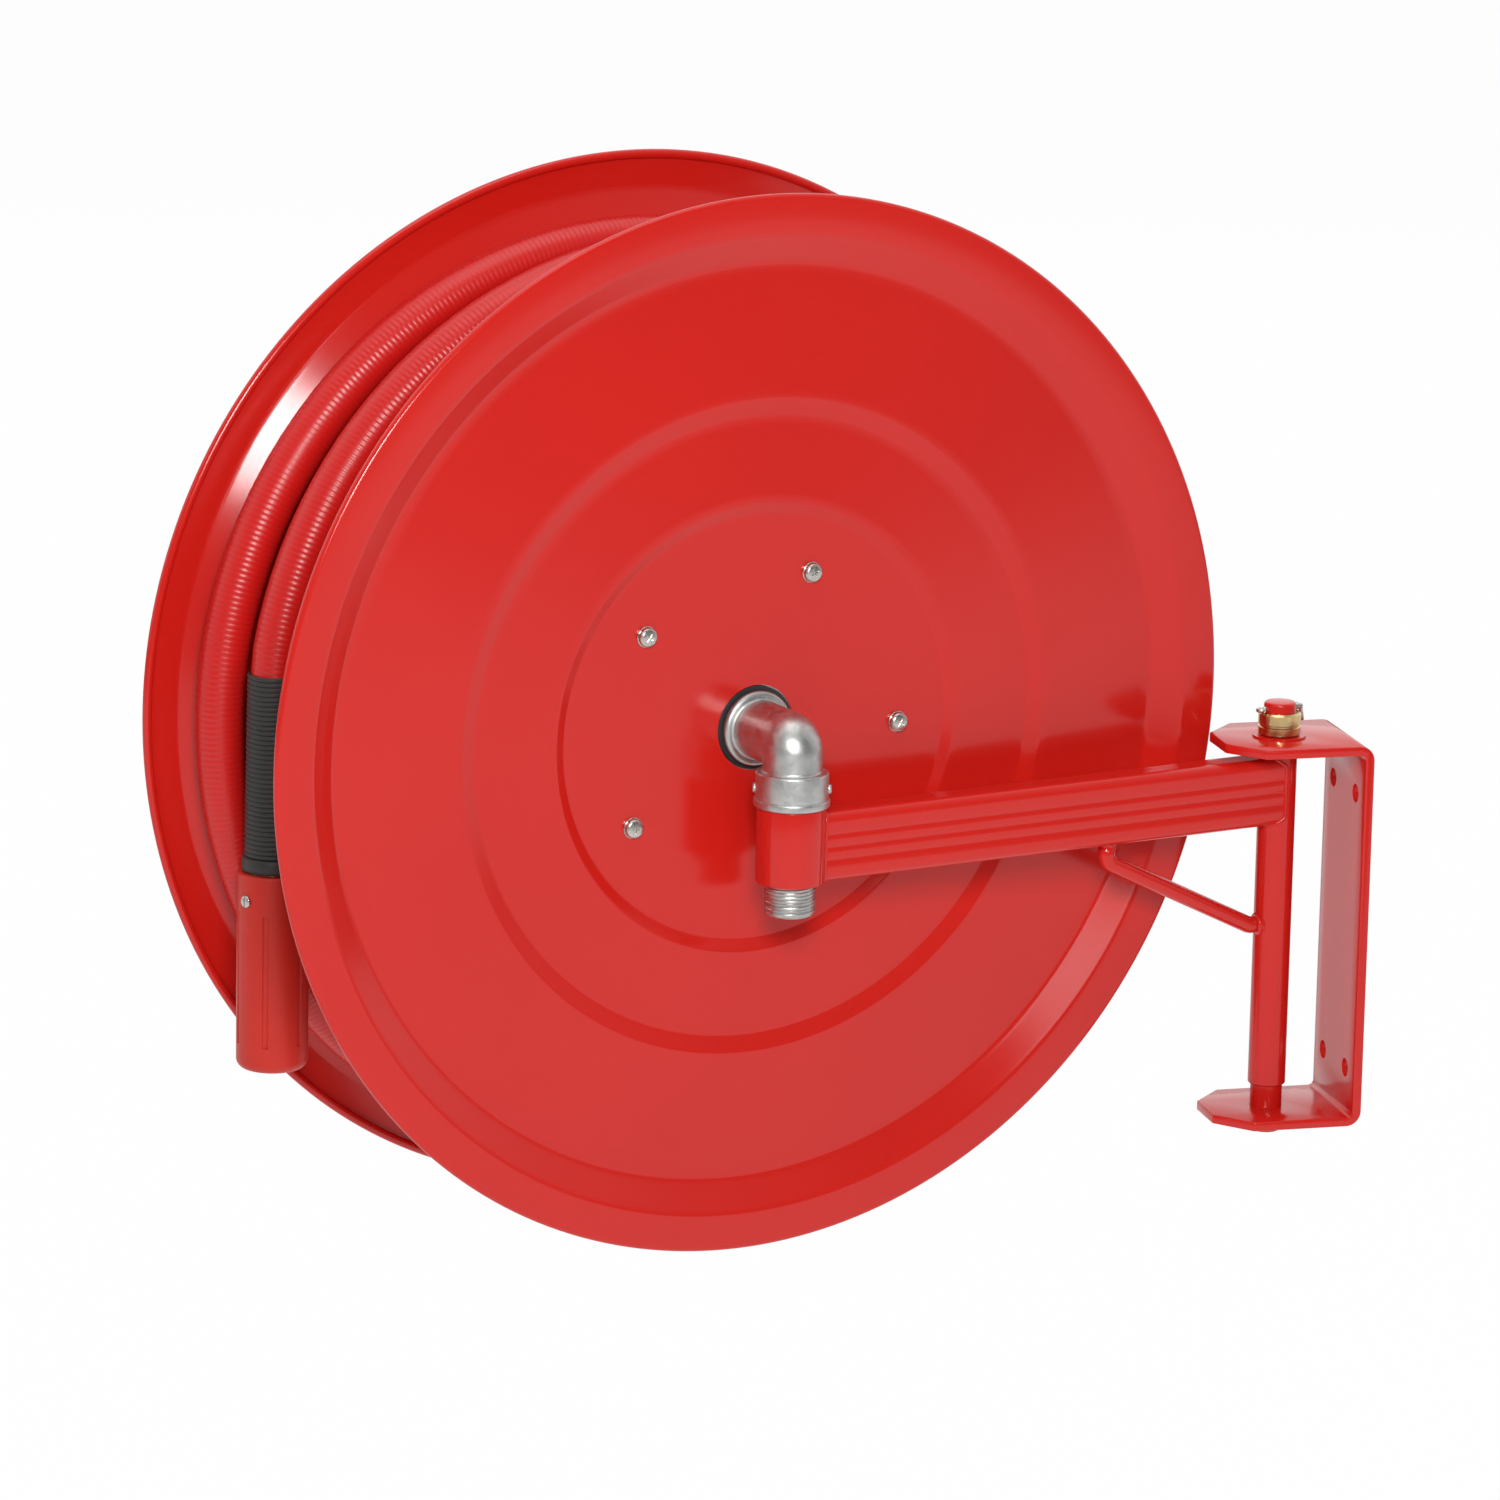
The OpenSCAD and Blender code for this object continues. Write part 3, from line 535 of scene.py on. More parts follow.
class Pattern(Enum):
    """What a finish's colour and relief follow, with what draws it."""

    MOTTLE = ("surface_mottle", mottle)
    SPANGLE = ("zinc_spangle", spangle)
    RIBS = ("hose_ribs", ribs)

    def group(self) -> bpy.types.NodeTree:
        """The pattern's node group.

        Returns:
            The group. It gives Colour, Height and, where the gloss changes, Roughness.
        """
        name, draw = self.value
        tree = bpy.data.node_groups.new(name, "ShaderNodeTree")
        for label in ("First", "Second"):
            tree.interface.new_socket(label, in_out="INPUT", socket_type="NodeSocketColor")
        for label in ("Pattern Scale", "Skin Scale", "Rough Low", "Rough High"):
            tree.interface.new_socket(label, in_out="INPUT", socket_type="NodeSocketFloat")
        graph = Graph(tree)
        given = graph.add("NodeGroupInput").outputs
        drawn = draw(graph, given)
        colour = graph.add("ShaderNodeMixRGB", {"Fac": drawn["Share"], "Color1": given["First"],
                                                "Color2": given["Second"]})
        made = {"Colour": colour.outputs["Color"], "Height": drawn["Height"]}
        if "Gloss" in drawn:
            made["Roughness"] = graph.ranged(drawn["Gloss"], (0.0, 1.0),
                                             (given["Rough Low"], given["Rough High"]))
        for label in made:
            kind = "NodeSocketColor" if label == "Colour" else "NodeSocketFloat"
            tree.interface.new_socket(label, in_out="OUTPUT", socket_type=kind)
        graph.add("NodeGroupOutput", made)
        return tree


GROUPS = {pattern: pattern.group() for pattern in Pattern}


# --- Finishes ---


@dataclass(frozen=True)
class Finish:
    """A finish of the part. Its scales are repeats a metre, and its height is in millimetres."""

    slot: Slot
    name: str
    first: Colour
    second: Colour
    pattern_scale: float
    rough: Point2
    height: float
    skin_scale: float = 900.0
    pattern: Pattern = Pattern.MOTTLE
    specular: float = 0.5

    @cached_property
    def material(self) -> bpy.types.Material:
        """The finish as a material, made once.

        Returns:
            The material.
        """
        material = bpy.data.materials.new(self.name)
        material.use_nodes = True
        graph = Graph(material.node_tree)
        shader = material.node_tree.nodes["Principled BSDF"]
        skin = graph.add("ShaderNodeGroup", {
            "First": (*self.first, 1.0), "Second": (*self.second, 1.0),
            "Pattern Scale": self.pattern_scale, "Skin Scale": self.skin_scale,
            "Rough Low": self.rough[0], "Rough High": self.rough[1]},
            node_tree=GROUPS[self.pattern]).outputs
        bump = graph.add("ShaderNodeBump", {"Height": skin["Height"], "Strength": 1.0,
                                            "Distance": self.height * MM})
        graph.feed(shader, {
            "Metallic": float(self.pattern is Pattern.SPANGLE), "Specular IOR Level": self.specular,
            "Roughness": skin["Roughness"] if "Roughness" in skin else self.rough[0],
            "Base Color": skin["Colour"], "Normal": bump.outputs["Normal"]})
        return material


PAINT = Finish(Slot.RED_PAINT, "red_powder_coat", (0.59, 0.014, 0.009), (0.56, 0.012, 0.008),
               5.0, (0.14, 0.18), 0.006, 500.0, specular=0.45)
GALVANISED = Finish(Slot.GALVANISED, "galvanised_casting", (0.50, 0.51, 0.50), (0.60, 0.60, 0.58),
                    300.0, (0.34, 0.44), 0.15, 160.0, Pattern.SPANGLE)
BRIGHT_ZINC = Finish(Slot.BRIGHT_ZINC, "bright_zinc_plate", (0.52, 0.50, 0.47),
                     (0.66, 0.63, 0.58), 900.0, (0.22, 0.34), 0.01, pattern=Pattern.SPANGLE)
YELLOW_ZINC = Finish(Slot.YELLOW_ZINC, "yellow_zinc_plate", (0.58, 0.44, 0.22),
                     (0.70, 0.52, 0.24), 300.0, (0.18, 0.28), 0.01, pattern=Pattern.SPANGLE)
BRASS = Finish(Slot.BRASS, "turned_brass", (0.70, 0.50, 0.22), (0.74, 0.55, 0.24), 500.0,
               (0.2, 0.3), 0.01, pattern=Pattern.SPANGLE)
NYLON = Finish(Slot.BLACK_NYLON, "black_nylon", (0.018, 0.018, 0.019), (0.024, 0.024, 0.025),
               60.0, (0.42, 0.5), 0.02, 1500.0)
RUBBER = Finish(Slot.BLACK_RUBBER, "black_rubber", (0.022, 0.022, 0.020), (0.030, 0.030, 0.028),
                60.0, (0.45, 0.6), 0.03, 1500.0)
RIB_PITCH = 2.8
# The second colour is a painted shade, laid into the bottoms of the rib grooves.
HOSE_COVER = Finish(Slot.HOSE_RUBBER, "red_hose_cover", (0.58, 0.010, 0.008),
                    (0.55, 0.009, 0.007), 1 / (RIB_PITCH * MM), (0.33, 0.33), 0.13,
                    pattern=Pattern.RIBS)
PLASTIC = Finish(Slot.RED_PLASTIC, "red_nozzle_plastic", (0.55, 0.026, 0.014),
                 (0.51, 0.023, 0.013), 30.0, (0.36, 0.44), 0.03, 1200.0, specular=0.35)


# --- Pieces ---


def piece(name: str, bm: Shape, place: Matrix, finish: Finish, body: Body, *stands_for: str,
          sharp: float = 40.0) -> None:
    """Makes a finished piece of the part out of a mesh, which is freed.

    Args:
        name: The piece's name.
        bm: Its mesh, in the millimetres of its place.
        place: The frame that it was shaped in.
        finish: Its finish.
        body: The body that it rides on.
        stands_for: The CAD nodes that it replaces.
        sharp: Edges above this angle in degrees stay crisp.
    """
    bm.transform(place)
    limit = math.radians(sharp)
    for face in bm.faces:
        face.smooth = True
    for edge in bm.edges:
        edge.smooth = edge.is_manifold and edge.calc_face_angle(0) < limit
    mesh = bpy.data.meshes.new(name)
    bm.to_mesh(mesh)
    bm.free()
    mesh.materials.append(finish.material)
    made = bpy.data.objects.new(name, mesh)
    bpy.context.scene.collection.objects.link(made)
    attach(made, body.value)
    if stands_for:
        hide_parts(*stands_for)
    log.info("%s: %d faces, rides on %s", name, len(mesh.polygons), body.value)


def dress(finish: Finish, *names: str) -> None:
    """Gives CAD nodes a finish.

    Args:
        finish: The finish.
        names: The nodes that get it.
    """
    for name in names:
        mesh = frame["nodes"][name].data
        mesh.materials.clear()
        mesh.materials.append(finish.material)
        log.info("%s: dressed in %s", name, finish.name)


# --- Studio ---


def seen_rays(graph: Graph) -> Socket:
    """1 for the rays that show the background: seen straight, mirrored or through glass.

    Args:
        graph: The node tree that gets the nodes.

    Returns:
        The output socket with 1 or 0.
    """
    path = graph.add("ShaderNodeLightPath").outputs
    straight = graph.maths("MAXIMUM", path["Is Camera Ray"], path["Is Glossy Ray"])
    return graph.maths("MAXIMUM", straight, path["Is Transmission Ray"])


@dataclass(frozen=True)
class Lamp:
    """A square soft lamp that faces the reel."""

    name: str
    place: Place
    size: float
    power: float
    aim: Place = (-0.3, 0.0, 0.1)

    def make(self) -> None:
        """Puts the lamp in the scene."""
        light = bpy.data.lights.new(self.name, "AREA")
        light.size = self.size
        light.energy = self.power
        lamp = bpy.data.objects.new(self.name, light)
        lamp.location = self.place
        way = Vector(self.aim) - Vector(self.place)
        lamp.rotation_euler = way.to_track_quat("-Z", "Y").to_euler()
        bpy.context.scene.collection.objects.link(lamp)


@dataclass(frozen=True)
class Studio:
    """Camera, lamps, world and floor."""

    camera_place: Place = (-1.35095, -3.7968, 1.0553)
    bearing: float = 15.04
    dip: float = 13.55
    roll: float = 1.1735
    lens: float = 187.63
    sensor: float = 36.0
    floor_z: float = -0.85
    floor_size: float = 60.0
    room_y: Point2 = (-0.7, 0.4)
    room_light: Point2 = (0.14, 1.1)
    floor_glow: float = 0.98
    pale_reach: Point2 = (6.6, 7.5)
    floor_light: Point2 = (0.9, 0.25)
    lamps: tuple[Lamp, ...] = (
        Lamp("key_lamp", (-0.83, -2.0, 1.07), 0.54, 31.0),
        Lamp("fill_lamp", (-0.05, -2.9, 0.9), 0.9, 8.0),
        Lamp("top_lamp", (-0.4, -0.3, 2.8), 1.8, 14.0),
    )

    def make_camera(self) -> None:
        """Puts the camera at the height and bearing of an eye-level product shot."""
        psi, dip, roll = (math.radians(a) for a in (self.bearing, self.dip, self.roll))
        ahead = Vector((math.sin(psi) * math.cos(dip), math.cos(psi) * math.cos(dip),
                        -math.sin(dip)))
        level = Vector((math.cos(psi), -math.sin(psi), 0))
        above = level.cross(ahead)
        right = math.cos(roll) * level + math.sin(roll) * above
        up = math.cos(roll) * above - math.sin(roll) * level
        data = bpy.data.cameras.new("camera")
        data.lens = self.lens
        data.sensor_width = self.sensor
        camera = bpy.data.objects.new("camera", data)
        turn = Matrix((right, up, -ahead)).transposed().to_4x4()
        camera.matrix_world = Matrix.Translation(self.camera_place) @ turn
        bpy.context.scene.collection.objects.link(camera)
        bpy.context.scene.camera = camera

    def make_world(self) -> None:
        """A room that is pale behind the reel and dimmer in front of it."""
        world = bpy.data.worlds.new("studio_world")
        bpy.context.scene.world = world
        world.use_nodes = True
        graph = Graph(world.node_tree)
        way = graph.add("ShaderNodeTexCoord").outputs["Generated"]
        back_share = graph.add("ShaderNodeSeparateXYZ", {"Vector": way}).outputs["Y"]
        graph.feed(world.node_tree.nodes["Background"], {
            "Color": WHITE, "Strength": graph.ranged(back_share, self.room_y, self.room_light)})

    def make_floor(self) -> None:
        """A plain pale floor that takes the reel's shadow and is dim, where mirrored, far off."""
        bm = bmesh.new()
        bmesh.ops.create_grid(bm, x_segments=8, y_segments=8, size=self.floor_size / 2)
        mesh = bpy.data.meshes.new("floor")
        bm.to_mesh(mesh)
        bm.free()
        floor = bpy.data.objects.new("floor", mesh)
        floor.location.z = self.floor_z
        bpy.context.scene.collection.objects.link(floor)
        material = bpy.data.materials.new("pale_floor")
        material.use_nodes = True
        graph = Graph(material.node_tree)
        nodes = material.node_tree.nodes
        nodes.remove(nodes["Principled BSDF"])
        place = graph.add("ShaderNodeTexCoord").outputs["Object"]
        away = graph.add("ShaderNodeVectorMath", {0: place}, operation="LENGTH").outputs["Value"]
        pale = graph.ranged(away, self.pale_reach, self.floor_light)
        straight = graph.add("ShaderNodeLightPath").outputs["Is Camera Ray"]
        matt = graph.add("ShaderNodeBsdfDiffuse", {"Color": pale})
        glow = graph.add("ShaderNodeEmission", {
            "Color": WHITE, "Strength": graph.maths("MAXIMUM", pale, straight)})
        mix = graph.add("ShaderNodeMixShader", {
            0: graph.maths("MULTIPLY", seen_rays(graph), self.floor_glow),
            1: matt.outputs["BSDF"], 2: glow.outputs["Emission"]})
        graph.feed(nodes["Material Output"], {"Surface": mix.outputs["Shader"]})
        mesh.materials.append(material)

    def make(self) -> None:
        """Builds the whole studio."""
        self.make_camera()
        self.make_world()
        self.make_floor()
        for lamp in self.lamps:
            lamp.make()
        bpy.context.scene.view_settings.view_transform = "Standard"


# --- Wall bracket ---


@dataclass(frozen=True)
class WallBracket:
    """The folded plate on the wall, with its two lugs and their bushes."""

    height: float = 207.0
    width: float = 65.0
    plate: float = 5.0
    fold_r: float = 8.0
    pivot_x: float = 42.5
    lug_reach: float = 34.0
    lug_cut: float = 17.0
    lug_lean: float = 2.0
    bolt_dy: float = 36.0
    bolt_dz: float = 150.0
    bolt_d: float = 10.0
    bush_d: float = 26.0
    edge: float = 0.7
    plate_cut: Point2 = (-9.0, 3.0)
    lug_cut_z: Point2 = (-9.0, 5.0)

    def plate_outline(self) -> list[Point2]:
        """Side view of the U, from the upper lug's tip round to the lower one's.

        Returns:
            Corners of the side view, as x and z.
        """
        top, r, ri = self.height / 2, self.fold_r, self.fold_r - self.plate
        tip = -self.pivot_x - self.lug_reach
        outer = arc((-r, top - r), r, 90, 0, 10) + arc((-r, -top + r), r, 0, -90, 10)
        inner = arc((-r, -top + r), ri, -90, 0, 10) + arc((-r, top - r), ri, 0, 90, 10)
        return [(tip, top), *outer, (tip, -top), (tip, -top + self.plate), *inner,
                (tip, top - self.plate)]

    def shape(self) -> Shape:
        """The plate, with cut corners, holes and broken edges.

        Returns:
            The new mesh.
        """
        half = self.width / 2
        upright = Matrix(((1, 0, 0, 0), (0, 0, 1, -half), (0, 1, 0, 0), (0, 0, 0, 1)))
        bm = extruded(self.plate_outline(), upright, Vector((0, self.width, 0)))
        tip = -self.pivot_x - self.lug_reach
        rise = self.lug_cut + self.lug_lean
        for side in (-1, 1):
            corner = Vector((tip, side * (half - rise), 0))
            across = Vector((-rise, side * self.lug_cut, 0))
            cut = bmesh.ops.bisect_plane(bm, geom=bm.verts[:] + bm.edges[:] + bm.faces[:],
                                         plane_co=corner, plane_no=across, clear_outer=True)
            open_edges = [e for e in cut["geom_cut"] if isinstance(e, bmesh.types.BMEdge)]
            bmesh.ops.holes_fill(bm, edges=open_edges)
        bmesh.ops.recalc_face_normals(bm, faces=bm.faces)
        round_edges(bm, self.edge)
        near, far = self.plate_cut
        low, high = (self.height / 2 + z for z in self.lug_cut_z)
        holes = [rod(self.bolt_d / 2, Vector((near, y, z)), Vector((far, y, z)), 48)
                 for y in (-self.bolt_dy / 2, self.bolt_dy / 2)
                 for z in (-self.bolt_dz / 2, self.bolt_dz / 2)]
        holes += [rod(self.bush_d / 2, Vector((-self.pivot_x, 0, s * low)),
                      Vector((-self.pivot_x, 0, s * high)), 64) for s in (-1, 1)]
        return drilled(bm, holes)

    def make(self) -> None:
        """Builds the bracket and dresses its bushes."""
        piece("bracket_plate", self.shape(), PLACES.wall, PAINT, Body.BRACKET, "wall_bracket")
        dress(PAINT, "upper_bush", "lower_bush")


# --- Swing arm ---


@dataclass(frozen=True)
class SwingArm:
    """Post, shaft, box arm and brace, welded together."""

    post_d: float = 20.0
    shaft_d: float = 17.0
    post_z: Point2 = (-86.3, 98.2)
    shaft_z: Point2 = (-112.0, 122.1)
    collar_z: float = 104.8
    collar_h: float = 12.0
    collar_d: float = 22.6
    reach: float = 296.5
    drop: float = 54.5
    height: float = 36.6
    thick: float = 20.0
    wall: float = 2.0
    corner: float = 5.0
    grooves: int = 3
    groove_w: float = 2.6
    groove_deep: float = 0.42
    sleeve_d: float = 35.8
    brace_d: float = 9.0
    brace_x: float = 191.0
    brace_z: float = 127.5
    brace_neck: float = 10.0
    brace_foot: float = 5.0
    brace_bend: float = 6.0
    bead: float = 1.0
    pin_d: float = 3.4
    pin_rise: float = 1.6
    ease_out: float = 0.1
    end_wall: float = 1.0
    groove_curve: Point2 = (0.6, 0.5)
    cut_low: float = -120.0

    def section(self) -> list[Point2]:
        """Outside of the arm tube's section, with its pressed grooves.

        Returns:
            Corners of the section, as y and z.
        """
        half_t, half_h, r = self.thick / 2, self.height / 2, self.corner
        pitch = (self.height - 2 * r) / (self.grooves + 1)
        marks = [k * pitch - half_h + r for k in range(1, self.grooves + 1)]
        side = [point for z in marks for point in self._groove(half_t, z)]
        right = [*arc((half_t - r, -half_h + r), r, -90, 0, 6), *side,
                 *arc((half_t - r, half_h - r), r, 0, 90, 6)]
        return right + [(-y, -z) for y, z in right]

    def _groove(self, side: float, z: float) -> list[Point2]:
        """Points of one groove in the side at y = side.

        Args:
            side: The side's distance from the middle plane.
            z: Height of the groove's middle.

        Returns:
            Corners, as y and z.
        """
        w, d, (deep, wide) = self.groove_w / 2, self.groove_deep, self.groove_curve
        return [(side, z - w), (side - deep * d, z - wide * w), (side - d, z),
                (side - deep * d, z + wide * w), (side, z + w)]

    def arm(self) -> Shape:
        """The box tube, cut to sit on the sleeve and on the post.

        Returns:
            The new mesh.
        """
        plane = Matrix(((0, 0, 1, 0), (1, 0, 0, 0), (0, 1, 0, -self.drop), (0, 0, 0, 1)))
        tube = extruded(self.section(), plane, Vector((self.reach, 0, 0)))
        h, t = self.height / 2 - self.wall, self.thick / 2 - self.wall
        core = extruded([(-t, -h), (t, -h), (t, h), (-t, h)],
                        Matrix.Translation((self.end_wall, 0, 0)) @ plane,
                        Vector((self.reach - 2 * self.end_wall, 0, 0)))
        cutters = [rod(d / 2 - self.ease_out, Vector((x, 0, self.cut_low)), Vector((x, 0, 0)), 96)
                   for x, d in ((0, self.sleeve_d), (self.reach, self.post_d))]
        return drilled(drilled(tube, [core]), cutters)

    def bead_round(self, middle_x: float, radius: float, toward: float) -> Shape:
        """Weld bead where the arm meets an upright tube.

        Args:
            middle_x: Where the tube's axis is along the arm.
            radius: The tube's radius.
            toward: 1 if the arm runs on to larger x, -1 if to smaller.

        Returns:
            The bead's mesh.
        """
        half_t, half_h, r = self.thick / 2, self.height / 2, self.corner
        loop = [point for y, z, turn in ((1, -1, -90), (1, 1, 0), (-1, 1, 90), (-1, -1, 180))
                for point in arc((y * (half_t - r), z * (half_h - r)), r, turn, turn + 90, 6)]
        path = [Vector((middle_x + toward * math.sqrt(radius ** 2 - min(y * y, radius ** 2 - 1)),
                        y, z - self.drop)) for y, z in loop]
        return swept([*path, path[0]], self.bead, 10)

    def brace(self) -> Shape:
        """The bent rod under the arm.

        Returns:
            The new mesh.
        """
        top = -self.drop - self.height / 2
        foot = self.reach - self.post_d / 2 - self.brace_foot
        corners = [Vector((self.brace_x, 0, top)), Vector((self.brace_x, 0, top - self.brace_neck)),
                   Vector((foot, 0, -self.brace_z)),
                   Vector((self.reach - self.post_d / 2, 0, -self.brace_z))]
        return swept(rounded_path(corners, self.brace_bend), self.brace_d / 2, 24)

    def brace_beads(self) -> Shape:
        """The two weld fillets of the brace.

        Returns:
            The new mesh.
        """
        r, foot, toe, sink = self.brace_d / 2, self.bead * 1.4, 0.4, 0.3
        top = -self.drop - self.height / 2
        fillet = [(r - 1, -foot - toe), (r, -foot - toe), *arc((r + foot, -foot), foot, 180, 90, 6),
                  (r + foot, sink), (r - 1, sink)]
        upper = turned(fillet, 40, Matrix.Translation((self.brace_x, 0, top)))
        saddle = self.post_d / 2 - math.sqrt(self.post_d ** 2 / 4 - r * r)
        lower = [(radius, z + (saddle if z > 0 else 0)) for radius, z in fillet]
        side = Matrix.Translation((self.reach - self.post_d / 2, 0, -self.brace_z))
        return joined(upper, turned(lower, 40, side @ Matrix.Rotation(QUARTER, 4, "Y")))

    def shaft(self) -> Shape:
        """The round shaft with its soft ends and the hole for the split pin.

        Returns:
            The new mesh.
        """
        r, tip, (low, high) = self.shaft_d / 2, 1.6, self.shaft_z
        shaft = turned([(0, low), (r - tip, low), *arc((r - tip, low + tip), tip, -90, 0, 4),
                        *arc((r - tip, high - tip), tip, 0, 90, 4), (0, high)], 64)
        pin_z = self.collar_z + self.collar_h + self.pin_rise
        side = Vector((self.post_d, 0, 0))
        pin = Vector((0, 0, pin_z))
        return drilled(shaft, [rod(self.pin_d / 2, pin - side, pin + side, 24)])

    def post(self) -> Shape:
        """The upright tube with broken edges.

        Returns:
            The new mesh.
        """
        r, bore, edge, (low, high) = self.post_d / 2, self.shaft_d / 2, 0.8, self.post_z
        return turned([(bore, low), (r - edge, low), (r, low + edge), (r, high - edge),
                       (r - edge, high), (bore, high)], 64)

    def welds(self) -> Shape:
        """Every weld bead of the arm."""
        return joined(self.bead_round(0, self.sleeve_d / 2, 1),
                      self.bead_round(self.reach, self.post_d / 2, -1), self.brace_beads())

    def collar(self) -> Shape:
        """Turned thrust collar with broken edges and a groove.

        Returns:
            The new mesh.
        """
        r, bore = self.collar_d / 2, self.shaft_d / 2 + 0.05
        low, high = self.collar_z, self.collar_z + self.collar_h
        edge, top_edge, deep, (ring_low, ring_high), slope = 0.6, 1.0, 0.7, (4.2, 6.0), 0.5
        return turned([(bore, low), (r - edge, low), (r, low + edge), (r, low + ring_low),
                       (r - deep, low + ring_low + slope), (r - deep, low + ring_high - slope),
                       (r, low + ring_high), (r, high - top_edge), (r - top_edge, high),
                       (bore, high)], 96)

    def make(self) -> None:
        """Builds the arm and dresses what stays."""
        for name, shape, place, *node in (
                ("swing_shaft", self.shaft, PLACES.pivot, "pivot_shaft"),
                ("swing_post", self.post, PLACES.pivot, "post_tube"),
                ("box_arm", self.arm, PLACES.elbow, "arm_tube"),
                ("bent_brace", self.brace, PLACES.elbow, "brace_rod"),
                ("arm_welds", self.welds, PLACES.elbow)):
            piece(name, shape(), place, PAINT, Body.ARM, *node)
        piece("turned_collar", self.collar(), PLACES.pivot, YELLOW_ZINC, Body.ARM, "thrust_collar")
        dress(BRIGHT_ZINC, "split_pin")


# --- Water way ---


@dataclass(frozen=True)
class WaterWay:
    """Sleeve, threaded inlet and elbow."""

    elbow_l: float = 32.5
    elbow_run: float = 39.0
    bend_r: float = 5.0
    leg_d: float = 30.6
    bore: float = 17.0
    bead_d: float = 39.2
    bead_w: float = 5.0
    collar_h: float = 18.0
    sleeve_l: float = 40.0
    sleeve_d: float = 35.8
    inlet_l: float = 17.0
    pipe_d: float = 26.4
    thread_pitch: float = 1.814
    thread_deep: float = 0.7
    thread_steps: int = 40
    thread_gap: float = 1.5
    lug_turns: Point2 = (-30.0, 150.0)

    def elbow(self) -> Shape:
        """The cast elbow: two legs that meet in a tight bend and end in beads."""
        return joined(self.bend(), self.level_leg(), self.upright_leg(), self.lugs())

    def bend(self) -> Shape:
        """The tight bend between the legs, spun about the crease on its inner side.

        Returns:
            The new mesh.
        """
        r, out = self.leg_d / 2, self.bend_r
        open_a = math.degrees(math.acos(-out / r))
        half = arc((out, 0), r, -open_a, open_a, 40)
        bm = bmesh.new()
        ring = [bm.verts.new((max(x, 0.0), 0, z)) for x, z in half]
        edges = [bm.edges.new((a, b)) for a, b in zip(ring, ring[1:] + ring[:1])]
        bmesh.ops.spin(bm, geom=ring + edges, axis=(0, 0, 1), cent=(0, 0, 0), angle=QUARTER,
                       steps=16, use_merge=False, use_duplicate=False)
        bmesh.ops.remove_doubles(bm, verts=bm.verts, dist=10 * WELD)
        bmesh.ops.holes_fill(bm, edges=[e for e in bm.edges if e.is_boundary])
        bmesh.ops.recalc_face_normals(bm, faces=bm.faces)
        # The spin's plane becomes the plane of the two legs.
        bm.transform(Matrix(((0, 0, 1, 0), (-1, 0, 0, out), (0, 1, 0, -out), (0, 0, 0, 1))))
        return bm

    def level_leg(self) -> Shape:
        """The leg towards the reel, with its bead.

        Returns:
            The new mesh.
        """
        r, b, end = self.leg_d / 2, self.bead_d / 2, self.elbow_run
        start = end - self.bead_w
        soft, edge = 1.4, 2.3
        return turned([(0, self.bend_r), (r, self.bend_r), (r, start - soft),
                       *arc((r + soft, start - soft), soft, 180, 90, 4)[1:], (b - edge, start),
                       *arc((b - edge, start + edge), edge, -90, 0, 4),
                       *arc((b - edge, end - edge), edge, 0, 90, 4), (0, end)], 96, ABOUT_REEL)

    def upright_leg(self) -> Shape:
        """The leg down to the sleeve, with its collar and bead.

        Returns:
            The new mesh.
        """
        r, b, face = self.leg_d / 2, self.bead_d / 2, self.elbow_l
        collar_r, edge, soft, bead_z = b - 0.8, 1.1, 1.4, (3.2, 5.0)
        top = -face + self.collar_h
        return turned([(0, -face), (b - edge, -face),
                       *arc((b - edge, -face + edge), edge, -90, 0, 4),
                       *arc((b - edge, -face + bead_z[0]), edge, 0, 80, 4),
                       (collar_r, -face + bead_z[1]), (collar_r, top - edge),
                       *arc((collar_r - edge, top - edge), edge, 0, 90, 4), (r + soft, top),
                       *arc((r + soft, top + soft), soft, -90, -180, 5),
                       (r, -self.bend_r), (0, -self.bend_r)], 96)

    def lugs(self) -> Shape:
        """The two small round bosses on the collar.

        Returns:
            The new mesh.
        """
        reach, r, soft = self.bead_d / 2 + 0.6, 2.6, 0.9
        sunk = reach - 4
        boss = [(0, sunk), (r, sunk), *arc((r - soft, reach - soft), soft, 0, 90, 4),
                (0, reach)]
        place = Matrix.Translation((0, 0, -self.elbow_l + self.collar_h / 2))
        return joined(*(turned(boss, 24, place @ Matrix.Rotation(math.radians(turn), 4, "Z")
                               @ Matrix.Rotation(QUARTER, 4, "Y")) for turn in self.lug_turns))

    def sleeve(self) -> Shape:
        """The welded sleeve round the inlet.

        Returns:
            The new mesh.
        """
        r, bore, low_edge, top_edge = self.sleeve_d / 2, self.pipe_d / 2 - 0.35, 1.0, 0.8
        low, high = -self.elbow_l - self.sleeve_l, -self.elbow_l
        return turned([(bore, low), (r - low_edge, low),
                       *arc((r - low_edge, low + low_edge), low_edge, -90, 0, 4),
                       *arc((r - top_edge, high - top_edge), top_edge, 0, 90, 4),
                       (bore, high)], 96)

